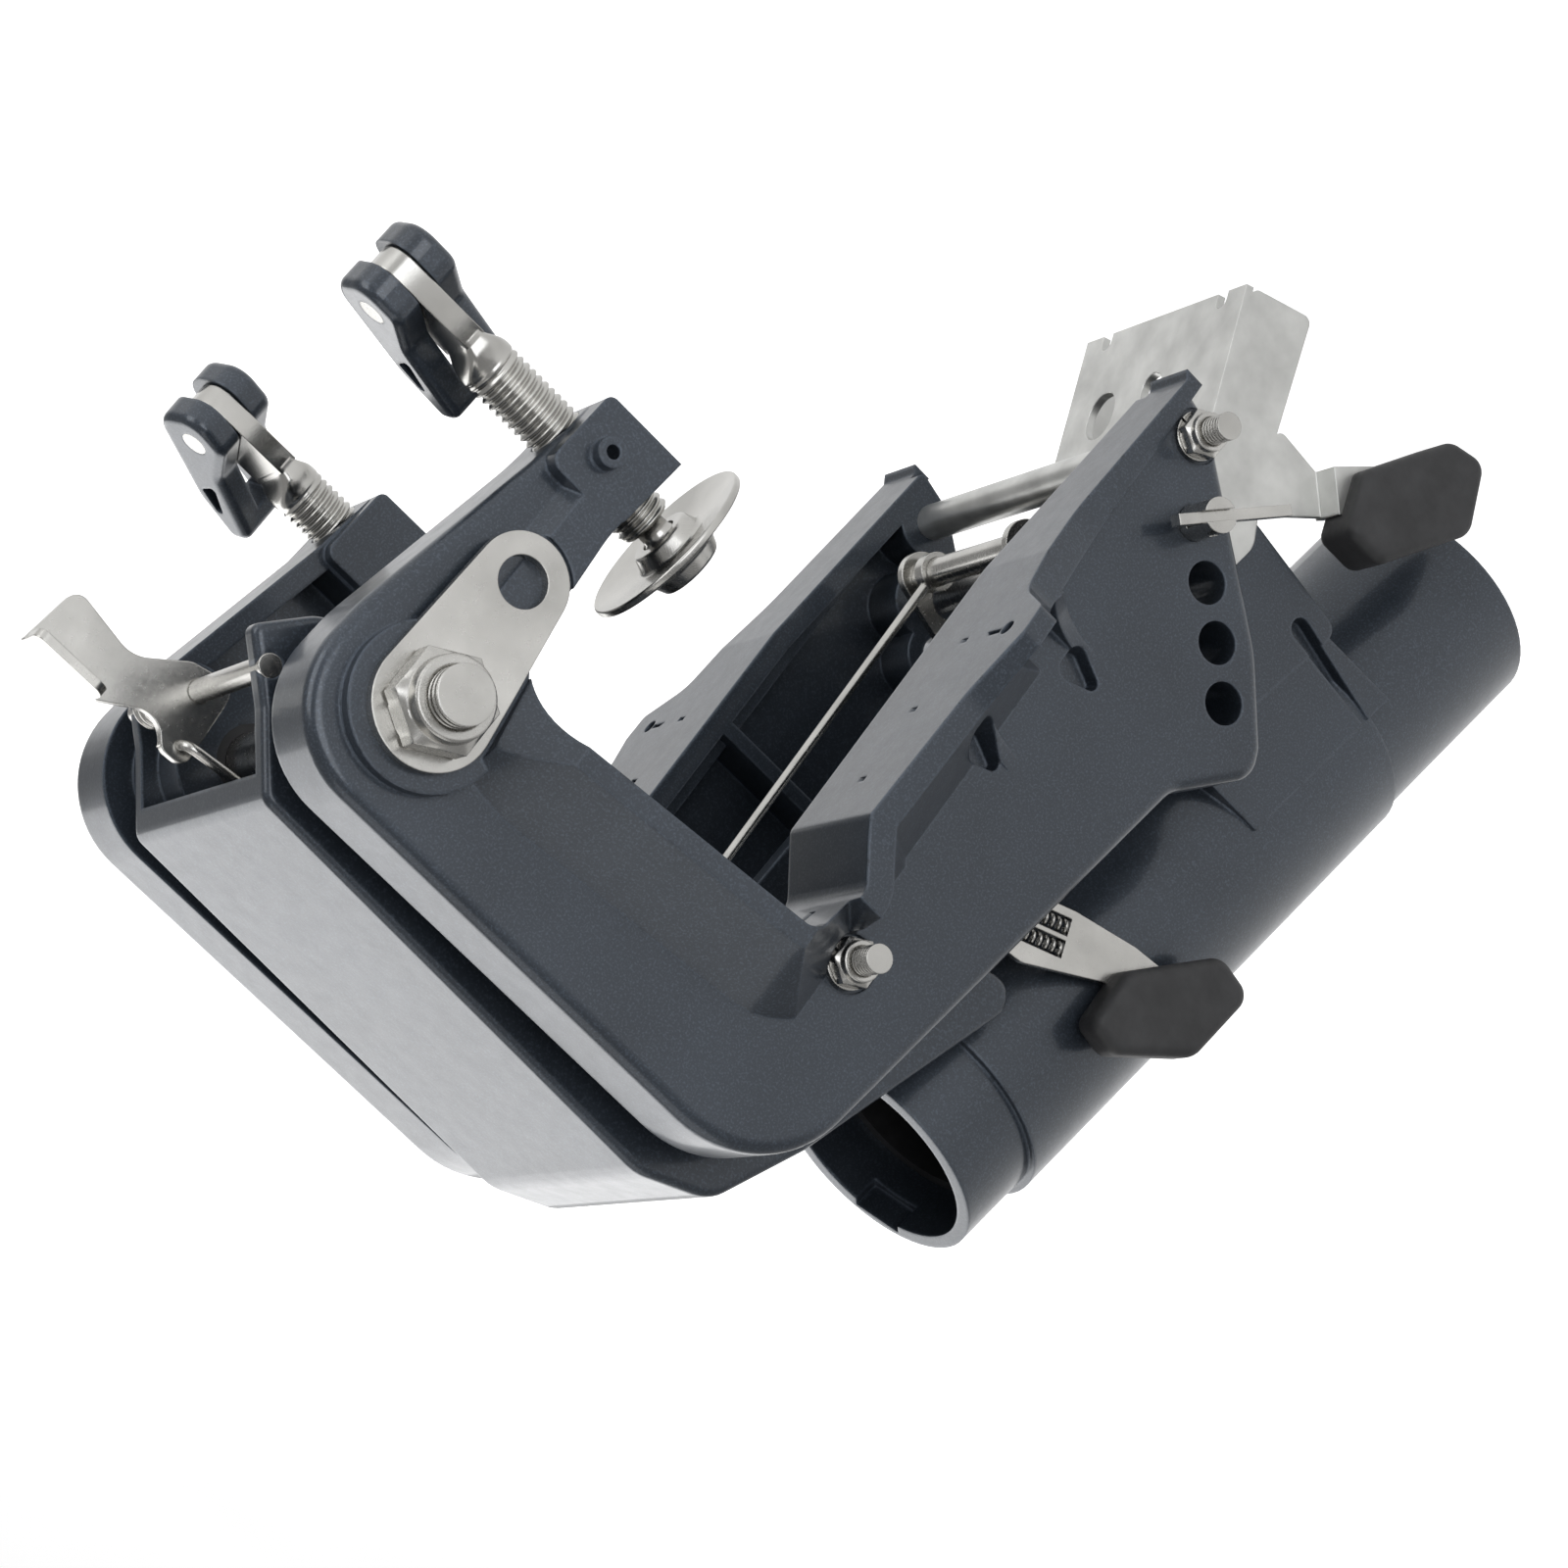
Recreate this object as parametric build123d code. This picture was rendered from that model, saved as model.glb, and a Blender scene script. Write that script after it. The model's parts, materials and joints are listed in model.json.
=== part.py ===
from build123d import *
import os
from math import atan2, cos, degrees, hypot, radians, sin, tan

# Outboard swivel bracket: two clamp brackets that hang on a boat's transom, a swivel bracket
# that tilts between them on one bolt, and the lock and support levers that it carries.
# Everything is drawn from the tilt bolt's axis: +X points forward into the boat, +Y to port
# and +Z up. The finished pieces are moved so that the origin is the upper steering bush's mouth.

# Overall layout, millimetres and degrees
CLAMP_INNER = 45.3          # inner edge of a clamp bracket, from the middle plane
CLAMP_OUTER = 62.8          # outer face of a clamp bracket's side plate
TOP_Z = 23.6                # top edge of the side plates
TRANSOM_X = -80.0           # face that bears on the transom
CEILING_Z = -15.5           # highest line of the transom slot
SLOT_FRONT_X = -7.5         # front side of the transom slot
AFT_X = -115.4              # aft edge of the side plates, at the top
AFT_LEAN = 9.6              # lean of that edge
SWIVEL_HALF = 35.0          # half the width of the swivel bracket
TUBE_TOP = (-154.0, -24.0)  # centre of the steering tube's top rim, X and Z
TUBE_LEAN = 9.87
TUBE_LENGTH = 200.3
TUBE_TOP_R = 26.9
TUBE_BOTTOM_R = 27.7
TUBE_WALL = 3.2
STEERING_R = 21.2           # bore of the steering bushes
BUSH_DROP = 14.0            # from either rim of the tube to its bush
BUSH_LENGTH = 30.0

# Wall sizes of the castings
PLATE = 5.0
EDGE_WALL = 5.0
RIB = 3.5
SWIVEL_WALL = 4.5
FLANGE_FOOT = 8.5           # thickness of the transom flange where it meets the side plate
FLANGE_IN = 49.0            # inner edge of the flange
FLANGE_OUT = 86.5           # outer edge of the flange at its lug
LUG_Z = -95.0               # height of the lug
GROOVE = 1.3                # width of the cross grooves in the flange
GROOVES_Z = (-94.0, -74.6, -55.4)
CAST_R = 3.0                # rounding of the side plates' outer edges
RIM_OUT = 77.0              # outer face of the rim round the slot
RIM_FACE = 4.6
NECK_RISE = 4.0             # height of the rim on the neck, which carries the clamp screw
RIM_FOOT = 17.0             # width of the rim where it meets the side plate

# Tilt bolt and what sits on it
BOLT_R = 6.0
BOLT_END = 82.5
PIVOT_BOSS_R = 16.8
PIVOT_BOSS_RISE = 3.0
NUT_FLATS = 19.0
NUT_HEIGHT = 10.0
WASHER = 2.0
SAFETY_PLATE = 2.5
SAFETY_R = 13.0
SAFETY_END_R = 10.0
SAFETY_HOLE_AT = (1.5, -31.0)
SAFETY_HOLE_R = 5.35
BUSH_WALL = 2.0
BUSH_FLANGE = 2.0

# Clamp screws, their pads and handles
SCREW_Y = 54.44
SCREW_Z = -65.25
SCREW_R = 6.0
PAD_X = -20.1
PAD_R = 19.5
HANDLE_AT = {1: 46.5, -1: 54.5}    # X of the handle pins, port and starboard
SCREW_ROLL = {1: 90.0, -1: 80.0}   # how far each screw is turned
HANDLE_FOLD = {1: -36.0, -1: -25.0}
HANDLE_PIN_R = 3.0
TONGUE = 5.0
CHEEK = 9.0                 # half the thickness of a handle over its cheeks

# Trim pin, tie bolts and spacer
TRIM_RADIUS = 184.9
TRIM_FIRST = 235.32
TRIM_PITCH = 3.99
TRIM_HOLES = 4
TRIM_HOLE_R = 4.7
TRIM_PIN_R = 3.9
TIE_R = 3.0
TIE_END = 74.5              # starboard end of the tie bolts, from the middle plane
TIE_FLATS = 10.0
SPOT_FACE = 1.2             # depth of the seats of their nuts and heads
SPLIT_WASHER = 1.6
SPACER_R = 4.2
SIDE_BOLT_AT = (-100.5, -24.0)

# Tilt lock: lever, bell crank, hook and the wires between them
LEVER_AT = (22.0, 4.0)
CRANK_AT = (-115.2, -12.0)
HOOK_ARM = 21.4             # from the hook's hinge to the bar that it carries
LEVER_ARM = 12.0            # from the lever's hinge to its wire
HOOK_Y = 22.0               # middle of each hook ear
EAR = 2.0                   # stamped sheet
HOOK_BAR_R = 3.2
WIRE_R = 1.1
PIN_R = 2.5

# Tilt support and the shallow-drive lever
SHALLOW_AT = (-130.0, -70.0)
SHALLOW_LEAN = 20.0         # slope of the shallow-drive lever
WINDOW = (13.0, 9.0)        # window in that lever for its two springs

# Places across the bracket and small sizes of the lock's pieces
LEVER_Y = 1.5               # starboard face of the tilt lever
WIRE_Y = 16.0               # middle of the link rod
SUPPORT_Y = 30.3            # inner face of the support's arms
GRIP_MIDDLE = 38.0          # middle of the support's grip
GRIP_HALF = 6.8
SHALLOW_Y = 30.6            # inner face of the shallow-drive lever
TOGGLE_TURN = 228.3         # direction of the toggle bar's long end
TOGGLE_Y = -69.8
TOGGLE = 2.4
TOGGLE_PIN_R = 1.2

# Clearances
RUN = 0.05                  # radial clearance of a running fit
SLACK = 0.3                 # between faces of pieces that move past each other


def outline(*corners):
    """A closed outline of straight runs, each corner given as x, z and its rounding radius."""
    edges = []
    arcs = []
    for index, (x, z, radius) in enumerate(corners):
        here = Vector(x, z)
        back = (Vector(*corners[index - 1][:2]) - here).normalized()
        ahead = (Vector(*corners[(index + 1) % len(corners)][:2]) - here).normalized()
        half = radians(back.get_angle(ahead)) / 2
        reach = radius / tan(half)
        middle = here + (back + ahead).normalized() * (radius / sin(half) - radius) if radius else here
        arcs.append((here + back * reach, middle, here + ahead * reach))
    for index, (start, middle, end) in enumerate(arcs):
        if corners[index][2]:
            edges.append(ThreePointArc(start, middle, end))
        following = arcs[(index + 1) % len(arcs)][0]
        if (following - end).length > 0.001:
            edges.append(Line(end, following))
    return make_face(edges)


def slab(face, y0, y1):
    """An outline in X and Z made into a plate from y0 to y1."""
    return extrude(Plane.XZ.offset(-y0) * face, amount=y1 - y0, dir=(0, 1, 0))


def disc(at, radius):
    """A round outline in X and Z."""
    return Pos(at[0], at[1]) * Circle(radius)


def round_bar(at, radius, y0, y1):
    """A round bar along Y through the point at, given as X and Z."""
    return slab(disc(at, radius), y0, y1)


def hull_of(*faces):
    """The outline that wraps several round outlines."""
    edges = []
    for face in faces:
        edges += face.edges()
    return make_hull(edges)


def polar(radius, angle):
    """X and Z of a point on a circle about the tilt axis."""
    return (radius * cos(radians(angle)), radius * sin(radians(angle)))


def beside(at, along, aside=0.0, lean=0.0):
    """A point moved from at by along and aside, on axes turned by lean degrees."""
    turn = radians(lean)
    return (at[0] + along * cos(turn) - aside * sin(turn),
            at[1] + along * sin(turn) + aside * cos(turn))


def hexagon(at, flats, y0, y1):
    """A six-sided nut blank along Y, its corners turned down."""
    face = Pos(at[0], at[1]) * RegularPolygon(flats / 2, 6, major_radius=False)
    return slab(face, y0, y1) & round_bar(at, flats * 0.56, y0, y1)


def wire(points, bends, radius):
    """Round wire along straight runs joined by bends."""
    path = FilletPolyline(*points, radius=bends)
    start = Plane(origin=path @ 0, z_dir=path % 0)
    return sweep(start * Circle(radius), path=path)


def both_sides(solid):
    """The mirror pair that stands either side of the middle plane."""
    return [solid, solid.mirror(Plane.XZ)]


def near_pin(along, up):
    """X and Z of a point placed from the trim pin."""
    return (TRIM_AT[0][0] + along, TRIM_AT[0][1] + up)


# Shared places worked out from the layout
AFT_SLOPE = tan(radians(AFT_LEAN))
TRIM_AT = [polar(TRIM_RADIUS, TRIM_FIRST - TRIM_PITCH * step) for step in range(TRIM_HOLES)]
HOOK_AT = near_pin(-8.6, 9.45)
SUPPORT_AT = near_pin(-18.8, -19.9)
SUPPORT_FOOT = near_pin(9.2, -72.4)
TIE_AT = near_pin(10.7, -15.5)
TIP_Z = near_pin(0, -23)[1]
HOOK_BAR_AT = (HOOK_AT[0] + HOOK_ARM, HOOK_AT[1])
TUBE_SLOPE = tan(radians(TUBE_LEAN))
CLAMP_MIDDLE = CLAMP_OUTER - PLATE
PIVOT_FACE = SWIVEL_HALF + BUSH_FLANGE + SLACK


def aft_edge(z):
    """X of the side plates' aft edge at a height."""
    return AFT_X + (z - TOP_Z) * AFT_SLOPE


def tube_axis(z):
    """X of the steering tube's axis at a height."""
    return TUBE_TOP[0] + (z - TUBE_TOP[1]) * TUBE_SLOPE


def clamp_outline():
    """Side view of a clamp bracket with the transom slot."""
    return outline(
        (11.0, SCREW_Z - 8.5, 3), (13.0, -56, 60), (22.0, -8, 30), (24.0, TOP_Z, 22),
        (AFT_X, TOP_Z + 0.8, 28), (aft_edge(-104), -104, 8), (*near_pin(-45.3, 31.6), 6),
        (*near_pin(-42.8, 25.6), 4), (*near_pin(-29.3, 10), 30), (*near_pin(5.7, -17.4), 8),
        (*near_pin(11.7, -21), 2), (TRANSOM_X - 5, TIP_Z, 1.5), (TRANSOM_X, LUG_Z - 23, 10),
        (TRANSOM_X, -43.5, 2.5), (-89.2, -31, 5), (-86.0, CEILING_Z - 2.2, 5),
        (-9.5, CEILING_Z + 5, 17), (SLOT_FRONT_X + 1, -52, 30), (-9.0, SCREW_Z - 8.5, 2))


def slot_outline():
    """The transom slot as a region that runs out below the bracket."""
    below = TIP_Z - 60
    return outline(
        (TRANSOM_X, below, 0), (TRANSOM_X, -43.5, 2.5), (-89.2, -31, 5),
        (-86.0, CEILING_Z - 2.2, 5), (-9.5, CEILING_Z + 5, 17),
        (SLOT_FRONT_X + 1, -52, 30), (-9.0, SCREW_Z - 8.5, 0), (-9.0, below, 0))


def slot_band(width, x0, x1, z0, z1):
    """Band of a width round the slot, between limits in X and Z."""
    limits = Pos((x0 + x1) / 2, (z0 + z1) / 2) * Rectangle(x1 - x0, z1 - z0)
    return offset(slot_outline(), amount=width, kind=Kind.ARC) & limits


def drafted(face, thick, width):
    """A band on the side plate that narrows from its foot's width to the rim's face."""
    lean = degrees(atan2(width - RIM_FACE, thick))
    raised = extrude(Plane.XZ.offset(-CLAMP_OUTER) * face, amount=thick, dir=(0, 1, 0), taper=lean)
    return raised - slab(slot_outline(), CLAMP_OUTER - 1, CLAMP_OUTER + thick + 1)


def slot_rim():
    """The raised rim round the top of the slot, ramped down on the neck."""
    foot = slot_band(RIM_FOOT, -98, 6, -101, 21)
    raised = drafted(foot, RIM_OUT - CLAMP_OUTER, RIM_FOOT)
    level = CLAMP_OUTER + NECK_RISE
    ramp = Polygon((-28, RIM_OUT + 1), (-12, level), (30, level), (30, RIM_OUT + 1), align=None)
    raised = raised - extrude(Plane.XY.offset(-120) * ramp, amount=150)
    below_neck = Pos(0, SCREW_Z - 8.5 - 30) * Rectangle(80, 60)
    raised = raised - slab(below_neck, CLAMP_OUTER - 1, RIM_OUT + 1)
    return raised - slab(safety_outline(1.5), CLAMP_OUTER + PIVOT_BOSS_RISE, RIM_OUT + 1)


def crest_outline():
    """Front view of the flange, in Y and Z: wide at the lug, narrow at the tip."""
    return outline(
        (FLANGE_IN, CEILING_Z, 0), (RIM_OUT, CEILING_Z, 0), (RIM_OUT + 0.2, -40, 20),
        (FLANGE_OUT - 5.5, LUG_Z + 19, 20), (FLANGE_OUT, LUG_Z + 3, 3),
        (FLANGE_OUT - 0.5, LUG_Z - 4, 2), (FLANGE_OUT - 13, LUG_Z - 11, 8),
        (CLAMP_OUTER + 3, -132, 40), (CLAMP_OUTER + 0.2, TIP_Z - 2, 0),
        (FLANGE_IN, TIP_Z - 2, 0))


def gusset(z):
    """Curved rib behind the flange at a height."""
    back = TRANSOM_X - RIM_FACE + 1
    root = TRANSOM_X - 29
    crest = (back, RIM_OUT + 1)
    foot = (root, CLAMP_OUTER)
    rib = make_face([Line((back, CLAMP_OUTER - 1), crest),
                     ThreePointArc(crest, (back - 8, CLAMP_OUTER + 5), foot),
                     Line(foot, (root, CLAMP_OUTER - 1)),
                     Line((root, CLAMP_OUTER - 1), (back, CLAMP_OUTER - 1))])
    return extrude(Plane.XY.offset(z) * rib, amount=RIB)


def scoop(x, z):
    """Hollow beside a gusset, pointed towards the aft edge."""
    shape = outline((x + 10, z + 4, 2), (x, z, 1), (x + 10, z - 4.5, 2))
    return extrude(Plane.XZ.offset(-CLAMP_OUTER + 3.4) * shape, amount=12, dir=(0, 1, 0), taper=-12)


def flange():
    """The flange that bears on the transom, with its gussets."""
    band = slot_band(FLANGE_FOOT, -100, TRANSOM_X + 8, TIP_Z - 2, -27)
    wall = slab(band, FLANGE_IN, CLAMP_OUTER) - slab(slot_outline(), FLANGE_IN - 1, CLAMP_OUTER + 1)
    wall = wall + drafted(band, FLANGE_OUT - CLAMP_OUTER, FLANGE_FOOT)
    wall = wall + gusset(LUG_Z - 18) + gusset(LUG_Z + 12)
    wall = wall & extrude(Plane.YZ.offset(-120) * crest_outline(), amount=80)
    lean_face = Polygon((TRANSOM_X, LUG_Z - 23), (TRANSOM_X + 1, TIP_Z - 9),
                        (TRANSOM_X - 5, TIP_Z), align=None)
    wall = wall - slab(lean_face, 0, 100)
    for z in GROOVES_Z:
        wall = wall - Pos(TRANSOM_X, FLANGE_IN + 12, z) * Box(3, 29, GROOVE)
    wall = wall - Pos(TRANSOM_X - 1, RIM_OUT + 0.6, LUG_Z + 0.6) * Rot(0, 90, 0) * Cylinder(1.8, 8)
    return wall


def clamp_bracket():
    """The port clamp bracket, a pocketed casting."""
    side = clamp_outline()
    body = slab(side, CLAMP_INNER, CLAMP_OUTER)
    rim_edges = body.faces().sort_by(Axis.Y)[-1].edges()
    body = fillet([edge for edge in rim_edges if not in_slot(edge.center())], CAST_R)
    hollow = offset(side, amount=-EDGE_WALL, kind=Kind.INTERSECTION)
    pocket = slab(hollow, CLAMP_INNER - 1, CLAMP_MIDDLE)
    kept = [round_bar((0, 0), PIVOT_BOSS_R + 2, CLAMP_INNER - 2, CLAMP_OUTER),
            round_bar(TIE_AT, 8.5, CLAMP_INNER - 2, CLAMP_OUTER),
            round_bar(SIDE_BOLT_AT, 7, CLAMP_INNER - 2, CLAMP_OUTER)]
    kept += [round_bar(at, TRIM_HOLE_R + 4, CLAMP_INNER - 2, CLAMP_OUTER) for at in TRIM_AT]
    kept.append(slab(Pos(0, SCREW_Z) * Rectangle(60, 24), CLAMP_INNER - 2, CLAMP_OUTER))
    for z in (-62, -93):
        kept.append(slab(Pos(-105, z) * Rectangle(120, RIB), CLAMP_INNER - 2, CLAMP_OUTER))
    kept.append(slab(Pos(-52, 10) * Rectangle(RIB, 60), CLAMP_INNER - 2, CLAMP_OUTER))
    for solid in kept:
        pocket = pocket - solid
    body = body - pocket
    body = body + slot_rim() + flange()
    body = body - scoop(TRANSOM_X - 30, LUG_Z - 12.5) - scoop(TRANSOM_X - 22.5, LUG_Z + 17)
    boss_face = outline((-9, SCREW_Z - 8.5, 1.5), (11, SCREW_Z - 8.5, 2), (12.2, -54, 3), (-7, -54, 3))
    body = body + slab(boss_face, CLAMP_INNER - 3.3, CLAMP_OUTER + 4)
    body = body + round_bar((0, 0), PIVOT_BOSS_R, PIVOT_FACE, CLAMP_OUTER + PIVOT_BOSS_RISE)
    body = body + round_bar((4, SCREW_Z + 1.7), 3.2, CLAMP_OUTER, CLAMP_OUTER + 7)
    cuts = [round_bar((0, 0), BOLT_R + RUN, 0, 100), round_bar(TIE_AT, TIE_R + RUN, 0, 100),
            round_bar(SIDE_BOLT_AT, TIE_R + RUN, 0, 100),
            round_bar(TIE_AT, 6.2, CLAMP_OUTER - SPOT_FACE, 100),
            round_bar(SIDE_BOLT_AT, 6.2, CLAMP_OUTER - SPOT_FACE, 100),
            round_bar((4, SCREW_Z + 1.7), 1.5, CLAMP_OUTER + 2, 100)]
    cuts += [round_bar(at, TRIM_HOLE_R, 0, 100) for at in TRIM_AT[1:]]
    cuts.append(round_bar(TRIM_AT[0], TRIM_PIN_R + RUN, 0, 100))
    cuts.append(Pos(0, SCREW_Y, SCREW_Z) * Rot(0, 90, 0) * Cylinder(SCREW_R + RUN, 60))
    for solid in cuts:
        body = body - solid
    return body


def in_slot(place):
    """Whether a point lies on the slot's edge, seen from the side."""
    return TRANSOM_X - 12 < place.X < 5 and place.Z < CEILING_Z + 6


def tilt_bolt():
    """The long bolt that the swivel bracket tilts on, with a hexagon head on port."""
    shank = round_bar((0, 0), BOLT_R, -BOLT_END, CLAMP_OUTER + PIVOT_BOSS_RISE + WASHER)
    seat = CLAMP_OUTER + PIVOT_BOSS_RISE + WASHER
    return shank + hexagon((0, 0), NUT_FLATS, seat, seat + 8)


def tilt_nut():
    """Lock nut on the starboard end of the tilt bolt."""
    seat = -(CLAMP_OUTER + PIVOT_BOSS_RISE + SAFETY_PLATE)
    nut = hexagon((0, 0), NUT_FLATS, seat - NUT_HEIGHT, seat)
    return nut - round_bar((0, 0), BOLT_R, -100, 0)


def tilt_washer():
    """Plain washer under the head of the tilt bolt."""
    seat = CLAMP_OUTER + PIVOT_BOSS_RISE
    return round_bar((0, 0), 12, seat, seat + WASHER) - round_bar((0, 0), BOLT_R, 0, 100)


def safety_outline(margin):
    """Side view of the safety plate, grown by a margin."""
    return hull_of(disc((0, 0), SAFETY_R + margin), disc(SAFETY_HOLE_AT, SAFETY_END_R + margin))


def safety_plate():
    """Stamped plate under the nut with a hole for the safety chain."""
    near = -(CLAMP_OUTER + PIVOT_BOSS_RISE)
    plate = slab(safety_outline(0), near - SAFETY_PLATE, near)
    plate = plate - round_bar((0, 0), BOLT_R + RUN, -100, 0)
    return plate - round_bar(SAFETY_HOLE_AT, SAFETY_HOLE_R, -100, 0)


def clamp_screw(side):
    """Clamp screw, drawn on the X axis, with a ball end and a flattened tongue for its handle."""
    head = HANDLE_AT[side]
    tip = PAD_X + 6
    shank_end = head - 24
    flat = shank_end + 7
    shank = Pos((tip + shank_end) / 2, 0, 0) * Rot(0, 90, 0) * Cylinder(SCREW_R, shank_end - tip)
    shank = shank + Pos(PAD_X + 4, 0, 0) * Rot(0, 90, 0) * Cylinder(3.2, 6)
    ball = Pos(PAD_X, 0, 0) * Sphere(4.4)
    half = SCREW_R + 0.3
    flare = loft([Plane.YZ.offset(shank_end) * Circle(SCREW_R),
                  Plane.YZ.offset(shank_end + 3) * RectangleRounded(SCREW_R + 3, 2 * half + 0.6, 4),
                  Plane.YZ.offset(flat) * RectangleRounded(TONGUE, 2 * half, 2)])
    tongue_shape = outline((flat, -half, 0), (head + 6.4, -half, 5), (head + 6.4, half, 5),
                           (flat, half, 0))
    tongue = slab(tongue_shape, -TONGUE / 2, TONGUE / 2)
    screw = shank + ball + flare + tongue
    return screw - round_bar((head, 0), HANDLE_PIN_R + RUN, -20, 20)


def clamp_pad():
    """Dished pad that swivels on the ball end of the clamp screw."""
    profile = outline((0, 0, 0), (7, 0, 1), (8.5, 3.4, 1), (PAD_R, 6.6, 0.5), (PAD_R, 8.2, 0.5),
                      (8.0, 6.2, 1), (6.6, 9.8, 1), (0, 9.8, 0))
    turned = revolve(Plane.XZ * profile, axis=Axis.Z)
    socket = Pos(0, 0, 7.2) * Sphere(4.45)
    mouth = Pos(0, 0, 8) * Cylinder(4.1, 8, align=(Align.CENTER, Align.CENTER, Align.MIN))
    return Rot(0, 90, 0) * (turned - socket - mouth)


def clamp_handle():
    """Wing handle about its pin: two cheeks either side of the tongue, joined by the nose."""
    side = outline((-33, -5, 2.5), (-20, -9, 10), (6, -9, 6), (8.5, 4, 6), (-1, 8, 4), (-12, 1.5, 6),
                   (-32.5, 0.5, 2.2))
    body = slab(side, -CHEEK, CHEEK)
    cheeks = body.faces().sort_by(Axis.Y)
    body = fillet(cheeks[0].edges() + cheeks[-1].edges(), 2.0)
    slot = slab(Pos(-3.5, 0) * Rectangle(47, 40), -TONGUE / 2 - SLACK, TONGUE / 2 + SLACK)
    window = outline((-29, -4.2, 1), (-17, -6.2, 1), (-15, -1.5, 1))
    body = body - slot - slab(window, -CHEEK - 1, -CHEEK + 2.2) - slab(window, CHEEK - 2.2, CHEEK + 1)
    return body - round_bar((0, 0), HANDLE_PIN_R, -20, 20)


def swivel_outline():
    """Side view of the beam of the swivel bracket."""
    return outline(
        (6, 25, 4), (-101, 28.5, 12), (-117, 22, 10), (-127.5, 0, 6),
        (tube_axis(-60) + 12, -60, 5), (-101, -52, 10), (-93, -16, 14), (-60, -12, 30), (-14, -16, 10),
        (20, -12, 8), (30, 0, 2), (18, 11, 4))


def tear_drop(big, small, radius, tip):
    """Hollow of a tear's outline in the starboard web, given its two ends."""
    face = hull_of(disc(big, radius), disc(small, tip))
    return extrude(Plane.XZ.offset(30.5) * face, amount=-4, taper=8)


def swivel_webs():
    """Side webs between the beam and the steering tube, hollowed beside the tube."""
    foot = near_pin(0, -28)[1]
    face = outline((-104, -30, 6), (-128, -30, 0), (tube_axis(foot) + 20, foot, 3),
                   (*near_pin(-24.8, -32), 6), (*near_pin(-7.8, -26), 6), (*near_pin(-5.5, 9), 6),
                   (-109, -120, 12))
    web = slab(face, 25.5, 30)
    cheek = outline((-136, -130, 10), (tube_axis(-130), -130, 0), (tube_axis(foot), foot + 2, 0),
                    (*near_pin(-24, -25), 5), (*near_pin(-22, 6), 10))
    cheeks = slab(cheek, 22, 29.5)
    both = web + cheeks
    both = both + both.mirror(Plane.XZ)
    hollow = tear_drop(near_pin(-48.5, -21.5), near_pin(-74, -17.5), 2.8, 1.2)
    return both - hollow - hollow.mirror(Plane.XZ)


def tube_solid(radius, start, length):
    """Round solid along the steering tube's axis, start millimetres down from the top rim."""
    return tube_place() * Pos(0, 0, start + length / 2) * Cylinder(radius, length)


def swivel_bracket():
    """The casting that carries the engine: beam, side webs and the steering tube."""
    inner = SWIVEL_HALF - SWIVEL_WALL
    beam = slab(swivel_outline(), -SWIVEL_HALF, SWIVEL_HALF)
    sides = beam.faces().sort_by(Axis.Y)
    beam = fillet(sides[0].edges() + sides[-1].edges(), 1.8)
    inside = offset(swivel_outline(), amount=-SWIVEL_WALL, kind=Kind.INTERSECTION)
    beam = beam - slab(inside, -inner, inner)
    mouth = outline((40, 14, 0), (19, 14, 0), (14, 20.5, 0), (-100, 23.5, 0),
                    (-110, 5, 0), (-110, -70, 0), (40, -70, 0))
    beam = beam - slab(mouth, -inner, inner)
    outer = tube_place() * Pos(0, 0, TUBE_LENGTH / 2) * Cone(TUBE_TOP_R, TUBE_BOTTOM_R, TUBE_LENGTH)
    thick = tube_solid(TUBE_BOTTOM_R + 1, 20, 130)
    barrels = round_bar((0, 0), 17, 21, SWIVEL_HALF)
    barrels = barrels + barrels.mirror(Plane.XZ)
    lug = slab(Pos(CRANK_AT[0] - 3.5, CRANK_AT[1]) * RectangleRounded(17, 12, 2), 26, 31.5)
    lugs = lug + lug.mirror(Plane.XZ)
    body = beam + barrels + swivel_webs() + outer + thick + lugs
    body = body - tube_solid(TUBE_TOP_R - TUBE_WALL, -60, TUBE_LENGTH + 70)
    key = tube_place() * Rot(0, 0, -135) * Pos(TUBE_TOP_R - TUBE_WALL, 0, 2) * Box(3, 12, 9)
    body = body - key - round_bar((0, 0), BOLT_R + BUSH_WALL, -60, 60)
    for at in (LEVER_AT, CRANK_AT, HOOK_AT, SUPPORT_AT, SHALLOW_AT):
        body = body - round_bar(at, PIN_R, -60, 60)
    return body


def screw_place(side):
    """Where a clamp screw stands: its axis beside the middle plane, turned about itself."""
    return Pos(0, side * SCREW_Y, SCREW_Z) * Rot(SCREW_ROLL[side], 0, 0)


def handle_pin():
    """Rivet pin through the cheeks and the tongue."""
    return round_bar((0, 0), HANDLE_PIN_R, -CHEEK, CHEEK)


def pivot_bush():
    """Flanged plastic bush in the port end of the swivel bracket's pivot."""
    sleeve = round_bar((0, 0), BOLT_R + BUSH_WALL, 21, SWIVEL_HALF)
    flange_ring = round_bar((0, 0), 15, SWIVEL_HALF, SWIVEL_HALF + BUSH_FLANGE)
    return sleeve + flange_ring - round_bar((0, 0), BOLT_R + RUN, 0, 60)


def steering_bush(start):
    """Plain bush inside the steering tube, start millimetres down from the top rim."""
    ring = Cylinder(TUBE_TOP_R - TUBE_WALL, BUSH_LENGTH) - Cylinder(STEERING_R, BUSH_LENGTH + 1)
    return tube_place() * Pos(0, 0, start + BUSH_LENGTH / 2) * ring


def tube_place():
    """Frame of the steering tube: origin at the top rim, its Z down the tube."""
    lean = radians(TUBE_LEAN)
    return Plane(origin=(TUBE_TOP[0], 0, TUBE_TOP[1]), x_dir=(cos(lean), 0, -sin(lean)),
                 z_dir=(-sin(lean), 0, -cos(lean)))


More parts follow.
